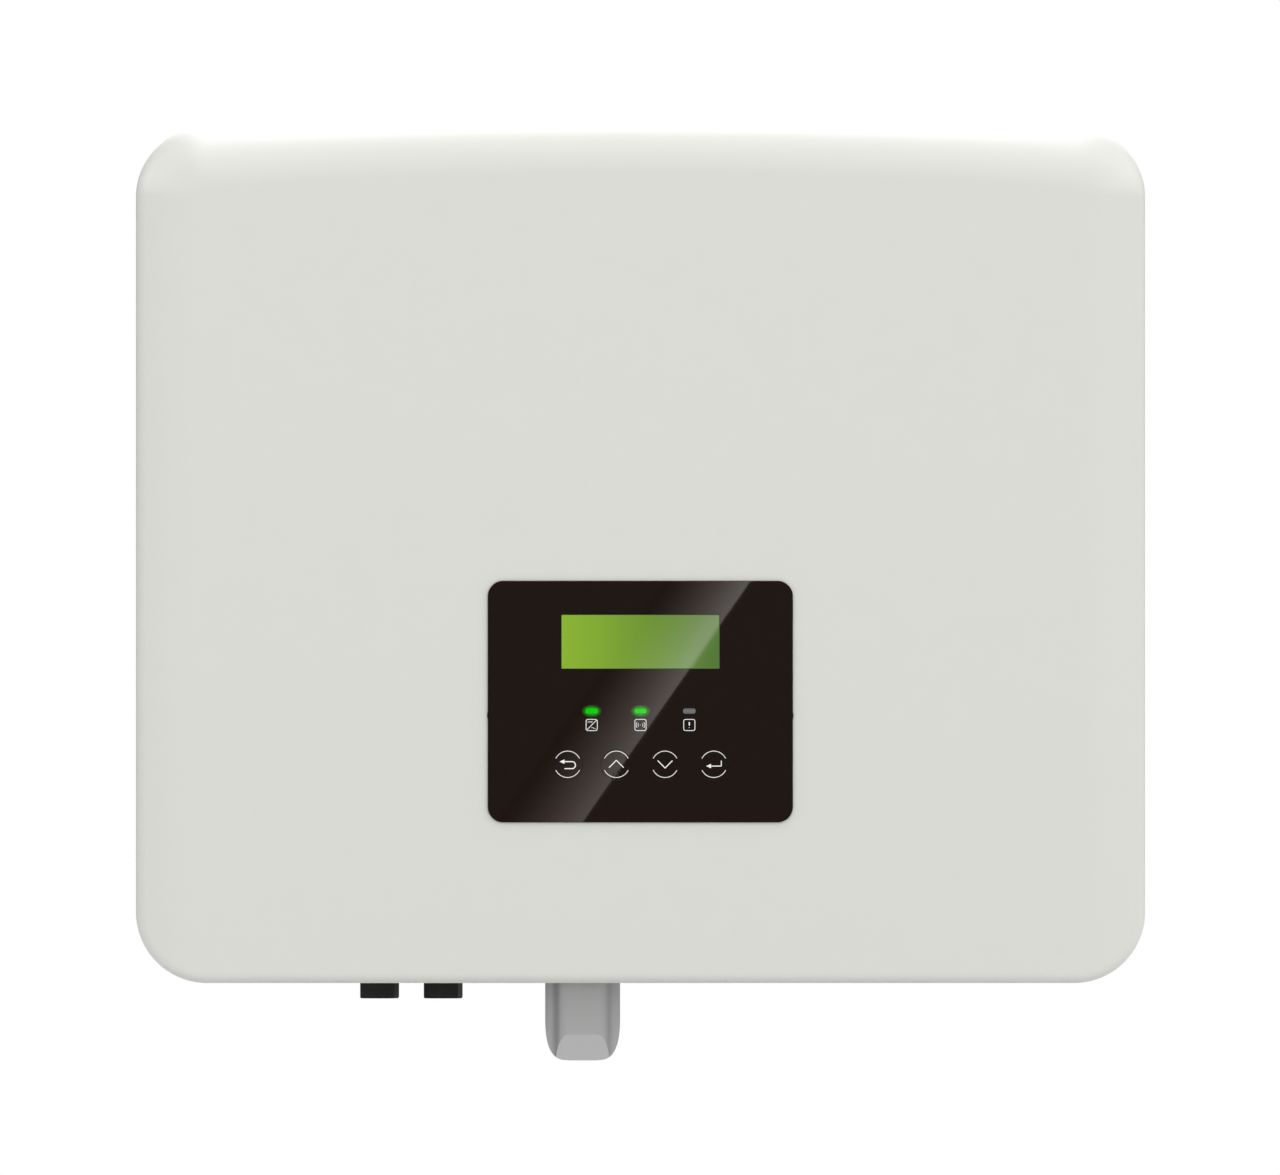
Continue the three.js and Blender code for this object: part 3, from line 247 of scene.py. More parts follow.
world = bpy.data.worlds.new("studio")
bpy.context.scene.world = world
room = Tree(world)
toward_right, toward_back, toward_top = room.axes(room.add("ShaderNodeTexCoord"))
soft_light = (AMBIENT - FROM_FRONT * toward_back + FROM_RIGHT * toward_right
              + FROM_TOP * toward_top)
dark_spot = toward_back.between(-0.998, -0.985)
overhead = 1 - toward_right.math("ABSOLUTE").between(0.1, 0.4)
lit_wall = toward_right.between(-0.4, -0.02).math(
    "MAXIMUM", toward_top.between(0.15, 0.5) * overhead)
dim_wall = 1 - RIGHT_DIMMING * toward_right.between(0.1, 0.5)
lit_ceiling = 1 + (CEILING_GAIN * toward_top.between(0.0, 0.3)
                   * toward_back.between(0.1, 0.6) * overhead)
gloss_light = ((GLOSS_DIMMEST + (1 - GLOSS_DIMMEST) * dark_spot)
               * (LEFT_WALL + (1 - LEFT_WALL) * lit_wall) * dim_wall * lit_ceiling)
rays = room.add("ShaderNodeLightPath")
seen_directly = rays.of("Is Camera Ray").math("MAXIMUM", rays.of("Is Transmission Ray"))
strength = soft_light + (gloss_light - soft_light) * rays.of("Is Glossy Ray")
strength = strength + (1 - strength) * seen_directly
background = room.add("ShaderNodeBackground", {}, {"Color": WHITE, "Strength": strength})
room.add("ShaderNodeOutputWorld", {}, {"Surface": background})
print("world nodes", len(world.node_tree.nodes))

# %% [markdown]
# A long softbox hangs above. It is as wide as the straight part of the top edge, so its
# reflection lights the rolled shoulder up to white and stops at the rounded corners.

# %% Softbox
SOFTBOX_SIZE, SOFTBOX_WATTS = (0.41, 0.9), 6.0
softbox_data = bpy.data.lights.new("softbox", "AREA")
softbox_data.shape = "RECTANGLE"
softbox_data.size, softbox_data.size_y = SOFTBOX_SIZE
softbox_data.energy = SOFTBOX_WATTS
softbox = shown("softbox", softbox_data)
softbox.location = (0, 0.42, 1.25)
softbox.visible_camera = False
print("softbox", SOFTBOX_WATTS, "W")

# %% [markdown]
# ## Mesh makers
#
# All new pieces are grids of points: rings of the same number of points, whose neighbours are
# joined by four-sided faces. Whole arrays are worked out at once, with no loop over points.

# %% Grids to meshes
def dressed(name, mesh, finish, node=None, body="inverter", sharp=35):
    """An object for a mesh, smooth except at sharp edges, that rides on a body. It may stand
    for a CAD node, which it then hides."""
    mesh.materials.append(finish.material)
    mesh.polygons.foreach_set("use_smooth", np.ones(len(mesh.polygons), bool))
    mesh.set_sharp_from_angle(angle=math.radians(sharp))
    piece = shown(name, mesh)
    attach(piece, body)
    if node:
        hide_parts(node)
    return piece


def add_piece(name, shape, *dress, **more):
    """A piece from points in millimetres and faces."""
    points, faces = shape
    mesh = bpy.data.meshes.new(name)
    mesh.from_pydata((np.asarray(points) * MM).tolist(), [], faces)
    mesh.validate()
    return dressed(name, mesh, *dress, **more)


def skin(rings, closed=False):
    """Points and faces of a skin over rings of equal length. Closed joins the last ring to
    the first. Otherwise a flat face closes the first and the last ring."""
    count, size = rings.shape[:2]
    ring, point = np.meshgrid(np.arange(count if closed else count - 1), np.arange(size),
                              indexing="ij")
    following, beside = (ring + 1) % count, (point + 1) % size
    corners = [ring * size + point, ring * size + beside,
               following * size + beside, following * size + point]
    faces = np.stack(corners, -1).reshape(-1, 4).tolist()
    if not closed:
        faces += [np.arange(size)[::-1].tolist(),
                  (np.arange(size) + (count - 1) * size).tolist()]
    return rings.reshape(-1, 3), faces


def merged(*parts):
    """Several lists of points and faces as one."""
    points, faces = [], []
    for part_points, part_faces in parts:
        offset = sum(len(known) for known in points)
        points.append(np.asarray(part_points))
        faces += [[corner + offset for corner in face] for face in part_faces]
    return np.concatenate(points), faces


# %% [markdown]
# Two kinds of grid cover nearly every piece: a turned piece, whose rings are circles, and a
# prism, whose rings are one outline that shrinks a little at each end and so rounds its edges.

# %% Outlines and profiles
def circle(radius, sides):
    """Points at equal angles and one distance from the middle."""
    angle = np.linspace(0, 2 * math.pi, sides, endpoint=False)
    return np.stack([radius * np.cos(angle), radius * np.sin(angle)], -1)


def rounded_rectangle(width, height, radius, steps=12):
    """Four quarter circles, each round its own corner's middle."""
    angle = np.linspace(0, math.pi / 2, steps)
    quarter = np.stack([np.cos(angle), np.sin(angle)], -1) * radius
    inner = np.array([width / 2 - radius, height / 2 - radius])
    turns = [np.array([[c, s], [-s, c]]) for c, s in ((1, 0), (0, 1), (-1, 0), (0, -1))]
    signs = np.array([[1, 1], [-1, 1], [-1, -1], [1, -1]])
    return np.concatenate([quarter @ turn + inner * sign for turn, sign in zip(turns, signs)])


def softened(corners, radius, steps=5):
    """Each corner between the two ends of a path becomes a parabola that leaves its sides at
    the radius, or nearer where a side is short. One more point before and after it keeps the
    sides flat in smooth shading."""
    corners = np.asarray(corners, float)
    to_before = np.roll(corners, 1, 0) - corners
    to_after = np.roll(corners, -1, 0) - corners
    to_before[0] = to_after[-1] = 0
    length_before = np.linalg.norm(to_before, axis=1, keepdims=True)
    length_after = np.linalg.norm(to_after, axis=1, keepdims=True)
    reach = np.minimum(radius, 0.45 * np.minimum(length_before, length_after))
    start = corners + to_before * reach / np.maximum(length_before, 1e-9)
    end = corners + to_after * reach / np.maximum(length_after, 1e-9)
    t = np.linspace(0, 1, steps)[None, :, None]
    curve = ((1 - t) ** 2 * start[:, None] + 2 * t * (1 - t) * corners[:, None]
             + t**2 * end[:, None])
    first, last = corners + (start - corners) * 1.1, corners + (end - corners) * 1.1
    curve = np.concatenate([first[:, None], curve, last[:, None]], 1)[1:-1]
    return np.concatenate([corners[:1], curve.reshape(-1, 2), corners[-1:]])


def resampled(path, spacing=0.12):
    """Points at equal steps along a path of straight pieces, and how far along they lie."""
    path = np.asarray(path, float)
    length = np.concatenate([[0], np.cumsum(np.linalg.norm(np.diff(path, axis=0), axis=1))])
    marks = np.linspace(0, length[-1], max(4, int(length[-1] / spacing) + 1))
    return np.stack([np.interp(marks, length, path[:, axis]) for axis in (0, 1)], -1), marks


def turned(profile, x, y, sides=72, ribs=None, flats=(), soft=0.35, base=0.0,
           hub=0.5):
    """A turned piece about an upright line: profile holds (radius, height), heights count
    from the base, and both ends go in to the hub's radius. Ribs is (count, depth, low, high):
    between those heights the radius swings by the depth as the cosine of count times the
    angle. Flats are (across, turn, low, high): a radius between the flats and the corners of
    that hexagon is cut down to the hexagon, half the width over the cosine of the angle from
    the nearest flat's middle."""
    profile = [(hub, profile[0][1]), *profile, (hub, profile[-1][1])]
    line = softened(np.array(profile) + [0, base], soft)
    radius, height = line[:, 0], line[:, 1]
    start = flats[0][1] if flats else 0.0
    angle = start + np.linspace(0, 2 * math.pi, sides, endpoint=False)
    reach = np.repeat(radius[:, None], sides, 1)
    if ribs:
        count, depth, low, high = ribs
        mask = ((height > base + low) & (height < base + high))[:, None]
        reach = reach - mask * depth * (0.5 + 0.5 * np.cos(count * angle))
    for across, turn, low, high in flats:
        from_flat = (angle - turn) % (math.pi / 3) - math.pi / 6
        hexagonal = (across / 2) / np.cos(from_flat)
        mask = (height >= base + low) & (height <= base + high)
        mask &= (radius > across / 2) & (radius < across * 0.6)
        reach = np.where(mask[:, None], np.minimum(reach, hexagonal), reach)
    level = np.repeat(height[:, None], sides, 1)
    return np.stack([x + reach * np.cos(angle), y + reach * np.sin(angle), level], -1)


def shrinking(width, height, radius, steps, pull=0):
    """A rounded rectangle for a shrinkage. Pull is the share that its radius shrinks by."""
    return lambda inset: rounded_rectangle(width - 2 * inset, height - 2 * inset,
                                           radius - pull * inset, steps)


def prism(outline, low, high, soft, x=0.0, y=0.0, steps=4):
    """An upright prism: at its two ends the outline shrinks by the soft radius along a
    quarter circle, and once more on the flat end, which keeps it flat in smooth shading.
    outline gives the points for a shrinkage."""
    angle = np.linspace(0, math.pi / 2, steps)
    inset = np.concatenate([[1.3 * soft], soft * (1 - np.sin(angle))])
    rise = np.concatenate([[0.0], soft * (1 - np.cos(angle))])
    inset = np.concatenate([inset, inset[::-1]])
    height = np.concatenate([low + rise, high - rise[::-1]])
    flat = np.stack([outline(shrinkage) for shrinkage in inset])
    levels = np.broadcast_to(height[:, None, None], (*flat.shape[:2], 1))
    return np.concatenate([flat + np.array([x, y]), levels], -1)


def facing(rings):
    """Upright rings (x, y, height) laid down: heights become depths towards the back."""
    return rings[..., [0, 2, 1]]


print("a square with soft corners has", len(rounded_rectangle(2, 2, 0.5)), "points")

# %% [markdown]
# ## Finishes
#
# Real paint is never one flat colour. Powder paint has a very fine orange peel, and its
# gloss and tone wander a little. One class of finishes gives each material its tone, its
# wandering and its grain, and lets the special ones below add to that.

# %% A finish with grain
class Finish:
    """A material whose tone and roughness wander by a share and whose surface has grain of a
    height in millimetres. Stretch squeezes the pattern along X, Y or Z. Slot is stored but not
    used. Constants are set on the shader's own sockets."""

    def __init__(self, name, colour, roughness, metallic=0.0, wander=0.03, grain=0.02,
                 scale=900.0, stretch=(1.0, 1.0, 1.0), slot=None, **constants):
        self.slot = slot or name
        self.material = bpy.data.materials.new(name)
        self.tree = tree = Tree(self.material)
        point = tree.stretched(stretch)
        broad, fine = tree.noise(point, scale / 25, 3.0), tree.noise(point, scale, 2.0)
        darker = tuple(part * (1 - wander) for part in colour)
        lighter = tuple(min(1.0, part * (1 + wander)) for part in colour)
        self.tone = tree.mix(broad, darker, lighter)
        gloss = roughness * (1 - wander) + 2 * roughness * wander * fine
        bump = tree.add("ShaderNodeBump", {},
                        {"Height": fine, "Distance": grain * MM, "Strength": 1.0})
        shader = tree.add("ShaderNodeBsdfPrincipled", {}, {
            "Base Color": self.tone, "Roughness": gloss, "Metallic": metallic,
            "Normal": bump, **constants})
        tree.add("ShaderNodeOutputMaterial", {}, {"Surface": shader})
        self.inputs = shader.socket.node.inputs

    def lay(self, factor, colour):
        """Lays a second colour over the tone where the factor is one."""
        self.tone = self.tree.mix(factor, self.tone, colour)
        self.tree.feed(self.inputs["Base Color"], self.tone)

    def shine(self, colour, strength):
        """Gives off light of a colour."""
        self.tree.feed(self.inputs["Emission Color"], colour)
        self.tree.feed(self.inputs["Emission Strength"], strength)


cover_paint = Finish("cover_paint", shade(219, 220, 213), 0.36, wander=0.008, grain=0.006,
                     scale=1400)
housing_paint = Finish("housing_paint", shade(172, 174, 173), 0.5, 0.3, 0.04, 0.03, 1100)
zinc_steel = Finish("zinc_steel", shade(176, 180, 184), 0.36, 0.95, 0.12, 0.004, 500)
screw_steel = Finish("screw_steel", shade(160, 162, 165), 0.3, 0.95, 0.08, 0.003, 2500)
seal_rubber = Finish("seal_rubber", shade(30, 31, 32), 0.75, wander=0.1, scale=1500)
black_plastic = Finish("black_plastic", shade(48, 48, 48), 0.42, wander=0.06, grain=0.012,
                       scale=2200, **{"Specular IOR Level": 0.05})
dongle_plastic = Finish("dongle_plastic", shade(190, 190, 191), 0.4, wander=0.012,
                        grain=0.008, scale=2400)
print("materials", len(bpy.data.materials))

# %% [markdown]
# Extruded aluminium carries long fine draw lines. Stretching the grain along Z, the
# direction of extrusion, gives them.

# %% Heatsink aluminium
ALONG_Z = 0.02
heatsink_aluminium = Finish("heatsink_aluminium", shade(188, 190, 193), 0.4, 0.85, wander=0.1,
                            grain=0.012, scale=1200, stretch=(1.0, 1.0, ALONG_Z))
print("draw lines are", round(1 / ALONG_Z), "times longer than wide")

# %% [markdown]
# ## Front cover
#
# The real cover is one deep-drawn painted shell. Its face is flat, falls back a little towards
# the sides and rolls back over a deep shoulder under the arched top edge. The panel lies in a
# shallow pocket. The shell is one closed ring of surface: up the outside, over the face, down
# the pocket, through its opening and back along the inside.

# %% Arched outline
CROWN_RISE = 10.0
CORNER_RADIUS = 34.0
SHOULDER_HEIGHT, SHOULDER_DEPTH = 30.0, 38.0
SIDE_BAND, SIDE_DROP = 28.0, 4.0
EDGE_RADIUS = 4.5
COVER_WALL = 2.5
POCKET_DEPTH = 2.5
RIM = COVER_HIGH[1]
FACE = RIM - 60.5
HALF_WIDTH = COVER_HIGH[0]
CROWN_RADIUS = (HALF_WIDTH**2 + CROWN_RISE**2) / (2 * CROWN_RISE)
PANEL_MIDDLE = LENS_MIDDLE[[0, 2]] - 0.1
PANEL_SIZE = (145.5, 115.2, 7.3)
NIB_HEIGHT = -6.6


def cover_outline(inset, corner=48, run=180, crown=140):
    """The outline, moved inwards by the inset, as x, z and the outward normal: two straight
    sides, a straight bottom, four corner arcs and the crown's long arc, each an arc of
    centre plus radius times direction."""
    half, radius = HALF_WIDTH - inset, CORNER_RADIUS - inset
    bend = CROWN_RADIUS - inset
    bend_middle = COVER_HIGH[2] - CROWN_RADIUS
    corner_x = half - radius
    lean = math.asin(corner_x / (bend - radius))
    top_z = bend_middle + (bend - radius) * math.cos(lean)
    low_z = BASE + inset + radius
    right = math.pi / 2

    def arc(x, z, size, start, end, steps):
        angle = np.linspace(start, end, steps)
        normal = np.stack([np.cos(angle), np.sin(angle)], -1)
        return np.concatenate([np.array([x, z]) + size * normal, normal], -1)

    def line(start, end, normal, steps):
        share = np.linspace(0, 1, steps + 2)[1:-1, None]
        points = np.array(start) * (1 - share) + np.array(end) * share
        return np.concatenate([points, np.broadcast_to(normal, points.shape)], -1)

    return np.concatenate([
        arc(corner_x, low_z, radius, -right, 0, corner),
        line((half, low_z), (half, top_z), (1, 0), run),
        arc(corner_x, top_z, radius, 0, right - lean, corner),
        arc(0, bend_middle, bend, right - lean, right + lean, crown)[1:-1],
        arc(-corner_x, top_z, radius, right + lean, 2 * right, corner),
        line((-half, top_z), (-half, low_z), (-1, 0), run),
        arc(-corner_x, low_z, radius, 2 * right, 3 * right, corner),
        line((-corner_x, BASE + inset), (corner_x, BASE + inset), (0, -1), run),
    ])


print("points round the cover", len(cover_outline(0)))

# %% Cover surface
def smooth_step(value):
    """Zero below zero, one above one, and 3v^2 - 2v^3 between."""
    value = np.clip(value, 0, 1)
    return value * value * (3 - 2 * value)


def cover_face(inset, steps):
    """Rings from the outline inwards. At a way w in from the outline the face lies back by
    the shoulder's ellipse near the top, by a quarter circle of the edge radius elsewhere,
    and by the side drop times the square of how far it is into the side band."""
    outline = cover_outline(inset)
    turn = np.linspace(0, math.pi / 2, steps)[:, None]
    way = np.append(SHOULDER_HEIGHT * (1 - np.cos(turn)), [[SHOULDER_HEIGHT + 0.4]], 0)
    shoulder = np.append(SHOULDER_DEPTH * (1 - np.sin(turn)), [[0.0]], 0)
    rounding = EDGE_RADIUS - inset
    to_edge = np.clip(1 - way / rounding, 0, 1)
    edge = rounding * (1 - np.sqrt(1 - to_edge**2))
    towards_top = smooth_step(outline[:, 3])
    x = outline[:, 0] - outline[:, 2] * way
    z = outline[:, 1] - outline[:, 3] * way
    to_side = np.clip((np.abs(x) - HALF_WIDTH + SIDE_BAND) / SIDE_BAND, 0, 1)
    y = FACE + inset + edge * (1 - towards_top) + shoulder * towards_top + SIDE_DROP * to_side**2
    return np.stack([x, y, z], -1)


def panel_outline(gap=0.0):
    """The panel's rounded rectangle, grown by a gap, with a small nib a little below half way
    up on its left and right sides."""
    width, height, corner = PANEL_SIZE
    shape = rounded_rectangle(width + 2 * gap, height + 2 * gap, corner + gap, 20)
    bump = np.array([[0, -1.5 - gap], [0.2, -1.1 - gap], [0.3, 0], [0.2, 1.1 + gap],
                     [0, 1.5 + gap]])
    right_nib = bump + np.array([width / 2 + gap, NIB_HEIGHT])
    left_nib = right_nib[::-1] * np.array([-1, 1])
    return np.concatenate([shape[:40], left_nib, shape[40:], right_nib]) + PANEL_MIDDLE


def inner_ring(outline, depth, around):
    """An outline at a depth, with its points at the angles at which the points around are
    seen from the panel's middle. Between its own points the distance is interpolated."""
    shape, _ = resampled(np.concatenate([outline, outline[:1]]), 0.1)
    shape_angle = np.arctan2(shape[:, 1] - LENS_MIDDLE[2], shape[:, 0])
    order = np.argsort(shape_angle)
    distance = np.hypot(shape[:, 0], shape[:, 1] - LENS_MIDDLE[2])[order]
    angle = np.arctan2(around[:, 2] - LENS_MIDDLE[2], around[:, 0])
    reach = np.interp(angle, shape_angle[order], distance, period=2 * math.pi)
    x, z = reach * np.cos(angle), LENS_MIDDLE[2] + reach * np.sin(angle)
    return np.stack([x, np.full_like(x, depth), z], -1)[None]


def rim_ring(inset):
    """The outline at the depth of the rim."""
    outline = cover_outline(inset)
    return np.stack([outline[:, 0], np.full(len(outline), RIM), outline[:, 1]], -1)[None]


outside = cover_face(0, 40)
inside = cover_face(COVER_WALL, 14)[::-1]
floor_depth = FACE + POCKET_DEPTH
opening = rounded_rectangle(137.2, 107.0, 3.1, 12) + np.array([0, LENS_MIDDLE[2]])
backing = rounded_rectangle(151.4, 121.2, 10.2, 20) + np.array([0, LENS_MIDDLE[2]])
mouth = [(0.3, 0), (0.18, 0), (0.1, 0.03), (0.06, 0.12), (0.06, POCKET_DEPTH)]
cover_rings = np.concatenate([
    rim_ring(0),
    outside,
    *[inner_ring(panel_outline(gap), FACE + depth, outside[-1]) for gap, depth in mouth],
    inner_ring(opening, floor_depth, outside[-1]),
    inner_ring(opening, floor_depth + COVER_WALL, outside[-1]),
    inner_ring(backing, floor_depth + COVER_WALL, outside[-1]),
    inner_ring(backing, FACE + COVER_WALL, outside[-1]),
    inside,
    rim_ring(COVER_WALL),
])
cover = add_piece("cover_shell", skin(cover_rings, closed=True), cover_paint, "front_cover")
print("cover faces", len(cover.data.polygons))

# %% [markdown]
# ## Operating panel
#
# The panel is a sheet of glossy black plastic with cut-outs for the display, three lamps and
# four keys. A plate with holes isn't a grid, so Blender fills a flat curve between the outer
# outline and the holes, and a tiny bevel on the curve catches light along the edge.

# %% Panel finish
LENS_FACE = LENS_LOW[1] + 0.2
LAMP_PLACES = [place(f"lamp_guide_{number}")[2] for number in (1, 2, 3)]
LIT_GREEN = shade(10, 214, 8)
GLOW_WIDTH, GLOW_HEIGHT = 0.0052, 0.0032

panel_gloss = Finish("panel_gloss", shade(31, 23, 18), 0.012, wander=0.04, grain=0.0,
                     slot="lens_black")
across, _, upward = panel_gloss.tree.axes()
# Painted lamp light: the black plate itself glows green in an oval round each lit lamp, past the
# edges of its hole.
glow = 0
for lamp in LAMP_PLACES[:2]:
    beside = (across - float(lamp[0]) * MM) / GLOW_WIDTH
    above = (upward - float(lamp[2]) * MM) / GLOW_HEIGHT
    distance = (beside**2 + above**2).math("SQRT")
    glow = glow + (1 - distance.between(0.35, 1.0)) * 0.85
panel_gloss.shine(panel_gloss.tree.mix(glow, BLACK, LIT_GREEN), 0.55)
print("panel face at", LENS_FACE)

# %% Panel plate
def plate(outlines, front, back, bevel):
    """A flat curve of several closed outlines, filled between them, as the points and faces
    of a plate in X and Z from the front depth to the back depth."""
    curve = bpy.data.curves.new("plate_curve", "CURVE")
    curve.dimensions, curve.fill_mode = "2D", "BOTH"
    curve.extrude = (back - front) / 2 - bevel
    curve.bevel_depth, curve.bevel_resolution, curve.offset = bevel, 2, -bevel
    for outline in outlines:
        spline = curve.splines.new("POLY")
        spline.points.add(len(outline) - 1)
        flat = np.zeros((len(outline), 4))
        flat[:, :2] = outline
        spline.points.foreach_set("co", flat.ravel())
        spline.use_cyclic_u = True
    holder = shown("plate_curve", curve)
    bpy.context.view_layer.update()
    graph = bpy.context.evaluated_depsgraph_get()
    mesh = bpy.data.meshes.new_from_object(holder.evaluated_get(graph))
    points = np.zeros(len(mesh.vertices) * 3)
    mesh.vertices.foreach_get("co", points)
    points = points.reshape(-1, 3)
    faces = [list(polygon.vertices) for polygon in mesh.polygons]
    bpy.data.objects.remove(holder)
    return np.stack([points[:, 0], (front + back) / 2 - points[:, 2], points[:, 1]], -1), faces


WINDOW_LOW, WINDOW_HIGH, WINDOW_MIDDLE = place("display_glass")
KEYS = ("return", "up", "down", "enter")
KEY_PLACES = {key: place(f"{key}_key")[2] for key in KEYS}
KEY_HOLE = 7.24
window = rounded_rectangle(75.5, 25.7, 0.3, 4) + WINDOW_MIDDLE[[0, 2]]
lamp_holes = [rounded_rectangle(6.1, 2.7, 1.1, 10) + middle[[0, 2]] for middle in LAMP_PLACES]
key_holes = [circle(KEY_HOLE, 120) + middle[[0, 2]] for middle in KEY_PLACES.values()]
panel_plate = plate([panel_outline(), window, *lamp_holes, *key_holes], LENS_FACE,
                    LENS_HIGH[1], 0.12)
add_piece("panel_plate", panel_plate, panel_gloss, "display_lens", sharp=11)
print("panel faces", len(panel_plate[1]))

# %% [markdown]
# ## Display, lamps and keys
#
# A character display glows yellow-green where its backlight sits, on the left, and fades to
# a darker green at the far end. The tone follows the position across the window.

# %% Display
display_green = Finish("display_green", shade(120, 158, 54), 0.02, wander=0.01, grain=0.0,
                       scale=700, **{"Specular IOR Level": 0.85})
across, _, _ = display_green.tree.axes()
share = (across - float(WINDOW_LOW[0]) * MM) / (float(WINDOW_HIGH[0] - WINDOW_LOW[0]) * MM)
backlight = display_green.tree.add("ShaderNodeValToRGB", {"stops": [
    (0.0, shade(136, 179, 52)), (0.2, shade(129, 170, 52)), (0.52, shade(111, 149, 53)),
    (0.72, shade(98, 137, 54)), (0.9, shade(89, 123, 55)), (1.0, shade(82, 118, 53))]},
    {"Fac": share})
display_green.tree.feed(display_green.inputs["Base Color"],
                        display_green.tree.mix(0.75, backlight, BLACK))
display_green.shine(backlight, 0.78)

pane = facing(prism(shrinking(75.3, 25.5, 0.3, 4), LENS_FACE, WINDOW_HIGH[1], 0.05,
                    WINDOW_MIDDLE[0], WINDOW_MIDDLE[2], 3))
add_piece("display_pane", skin(pane), display_green, "display_glass")
print("display from", WINDOW_LOW[0].round(1), "to", WINDOW_HIGH[0].round(1))

# %% [markdown]
# Two lamps shine green. The third is off, and its grey glow is painted light that stands in for
# the room light in its clear bar. A light guide is a small clear bar with a rounded outline,
# brightest in its middle.

# %% Lamps
def lamp_finish(name, inner, outer, strength):
    """A glow that is one colour in the middle of each lamp and another at its rim."""
    made = Finish(name, tuple(part * 0.25 for part in outer), 0.02, wander=0.02, grain=0.0,
                  scale=1500)
    _, _, upward = made.tree.axes()
    from_middle = (upward - float(LAMP_PLACES[0][2]) * MM).math("ABSOLUTE")
    made.shine(made.tree.mix(from_middle.between(0.0004, 0.0013), inner, outer), strength)
    return made


lamp_lit = lamp_finish("lamp_lit", shade(5, 206, 4), shade(5, 194, 4), 0.8)
# Painted light: the off lamp glows grey, though an unlit lamp gives no light.
lamp_unlit = lamp_finish("lamp_unlit", shade(118, 119, 119), shade(92, 92, 92), 0.78)
for number, made in enumerate((lamp_lit, lamp_lit, lamp_unlit), 1):
    low, high, middle = place(f"lamp_guide_{number}")
    bar = facing(prism(shrinking(5.9, 2.5, 1.0, 10), LENS_FACE, high[1], 0.08,
                       middle[0], middle[2], 3))
    add_piece(f"lamp_{number}", skin(bar), made, f"lamp_guide_{number}")
print("lamps", len(LAMP_PLACES))

# %% [markdown]
# Each key is a round cap that sits flush in the panel, with a collar behind it that keeps it
# in and a stem that meets the switch. It is turned, and laid down to face the front.

# %% Keys
CAP_RADIUS, COLLAR_RADIUS, STEM_RADIUS = 7.2, 8.2, 2.0
for key in KEYS:
    low, high, middle = place(f"{key}_key")
    collar_front, collar_back = low[1] + 2.9, low[1] + 4.1
    profile = [(CAP_RADIUS, LENS_FACE), (CAP_RADIUS, collar_front),
               (COLLAR_RADIUS, collar_front), (COLLAR_RADIUS, collar_back),
               (STEM_RADIUS, collar_back), (STEM_RADIUS, high[1])]
    cap = facing(turned(profile, middle[0], middle[2], 120, soft=0.03, hub=0.6))
    add_piece(f"{key}_key_cap", skin(cap), panel_gloss, f"{key}_key", f"{key}_button")
print("keys", len(KEYS))

# %% [markdown]
# ## Printed signs
#
# The signs are thin strokes of white ink. A stroke is a strip that follows a path: its two
# edges lie half a stroke to the left and right of the path, and at its ends the width closes
# like the end of a round pen. All of them lie 0.05 mm proud of the panel.

# %% Ink and strokes
ink = Finish("white_ink", shade(250, 250, 248), 0.5, wander=0.01, grain=0.001, scale=3000)
INK_DEPTH = 0.05


def stroke(path, width, closed=False, widths=None):
    """A strip of ink along a path. Its half width is half the stroke, and near an open end
    it is the height of a circle of that radius over the distance to the end."""
    points, marks = resampled(path)
    if closed:
        points, marks = points[:-1], marks[:-1]
        along = np.roll(points, -1, 0) - np.roll(points, 1, 0)
        half = np.full(len(points), width / 2)
    else:
        along = np.gradient(points, axis=0)
        to_end = np.minimum(marks, marks[-1] - marks)
        radius = width / 2
        half = np.sqrt(np.clip(radius**2 - np.clip(radius - to_end, 0, radius)**2, 1e-4, None))
    if widths is not None:
        half = np.interp(marks / marks[-1], *widths) / 2
    along /= np.linalg.norm(along, axis=1, keepdims=True)
    side = np.stack([-along[:, 1], along[:, 0]], -1) * half[:, None]
    left, right = points + side, points - side
    front, back = LENS_FACE - INK_DEPTH, LENS_FACE + INK_DEPTH
    ring = [np.insert(edge, 1, depth, 1) for edge, depth in
            ((left, front), (right, front), (right, back), (left, back))]
    return skin(np.stack(ring, 1), closed=closed)


def arc_path(x, z, radius, start, end, steps=40):
    """Points on a circle between two angles in degrees."""
    angle = np.radians(np.linspace(start, end, steps))
    return np.stack([x + radius * np.cos(angle), z + radius * np.sin(angle)], -1)


def bent(corners, radius=0.25):
    """A path of straight pieces with small rounded bends."""
    return softened(corners, radius, 6)


print("ink stands", INK_DEPTH, "mm proud")

# %% [markdown]
# Each key carries an arc above and below its sign. The signs are a return arrow, a pointer
# up, a pointer down and an enter arrow. They ride on their keys.

# %% Key signs
HEAD = ([0, 1], [0.02, 2.1])
HEAD_WIDTH = 0.7


def key_sign(key, *paths):
    """The two arcs and a key's own strokes. Paths are (points, width, widths) about the
    key's middle."""
    x, _, z = KEY_PLACES[key] + np.array([0.1, 0, 0.2])
    strokes = [stroke(arc_path(x, z, 6.3, start, start + 128), 0.31) for start in (26, 206)]
    strokes += [stroke(np.asarray(path) + np.array([x, z]), width, widths=widths)
                for path, width, widths in paths]
    add_piece(f"{key}_key_sign", merged(*strokes), ink, body=f"{key}_button")


curl = np.concatenate([[(-1.5, 1.27), (1.9, 1.27)], arc_path(2.05, -0.4, 1.67, 90, -90, 24),
                       [(1.9, -2.07), (-1.6, -2.07)]])
key_sign("return", (curl, 0.5, None), ([(-3.85, 1.27), (-1.5, 1.27)], HEAD_WIDTH, HEAD))
key_sign("up", (bent([(-3.55, -1.65), (0.0, 1.95), (3.55, -1.65)]), 0.45, None))
key_sign("down", (bent([(-3.55, 1.8), (0.0, -1.8), (3.55, 1.8)]), 0.45, None))
key_sign("enter", (bent([(-1.3, -0.85), (3.6, -0.85), (3.6, 1.8)], 0.1), 0.42, None),
         ([(-3.6, -0.85), (-1.3, -0.85)], HEAD_WIDTH, HEAD))
print("key signs", len(KEYS))

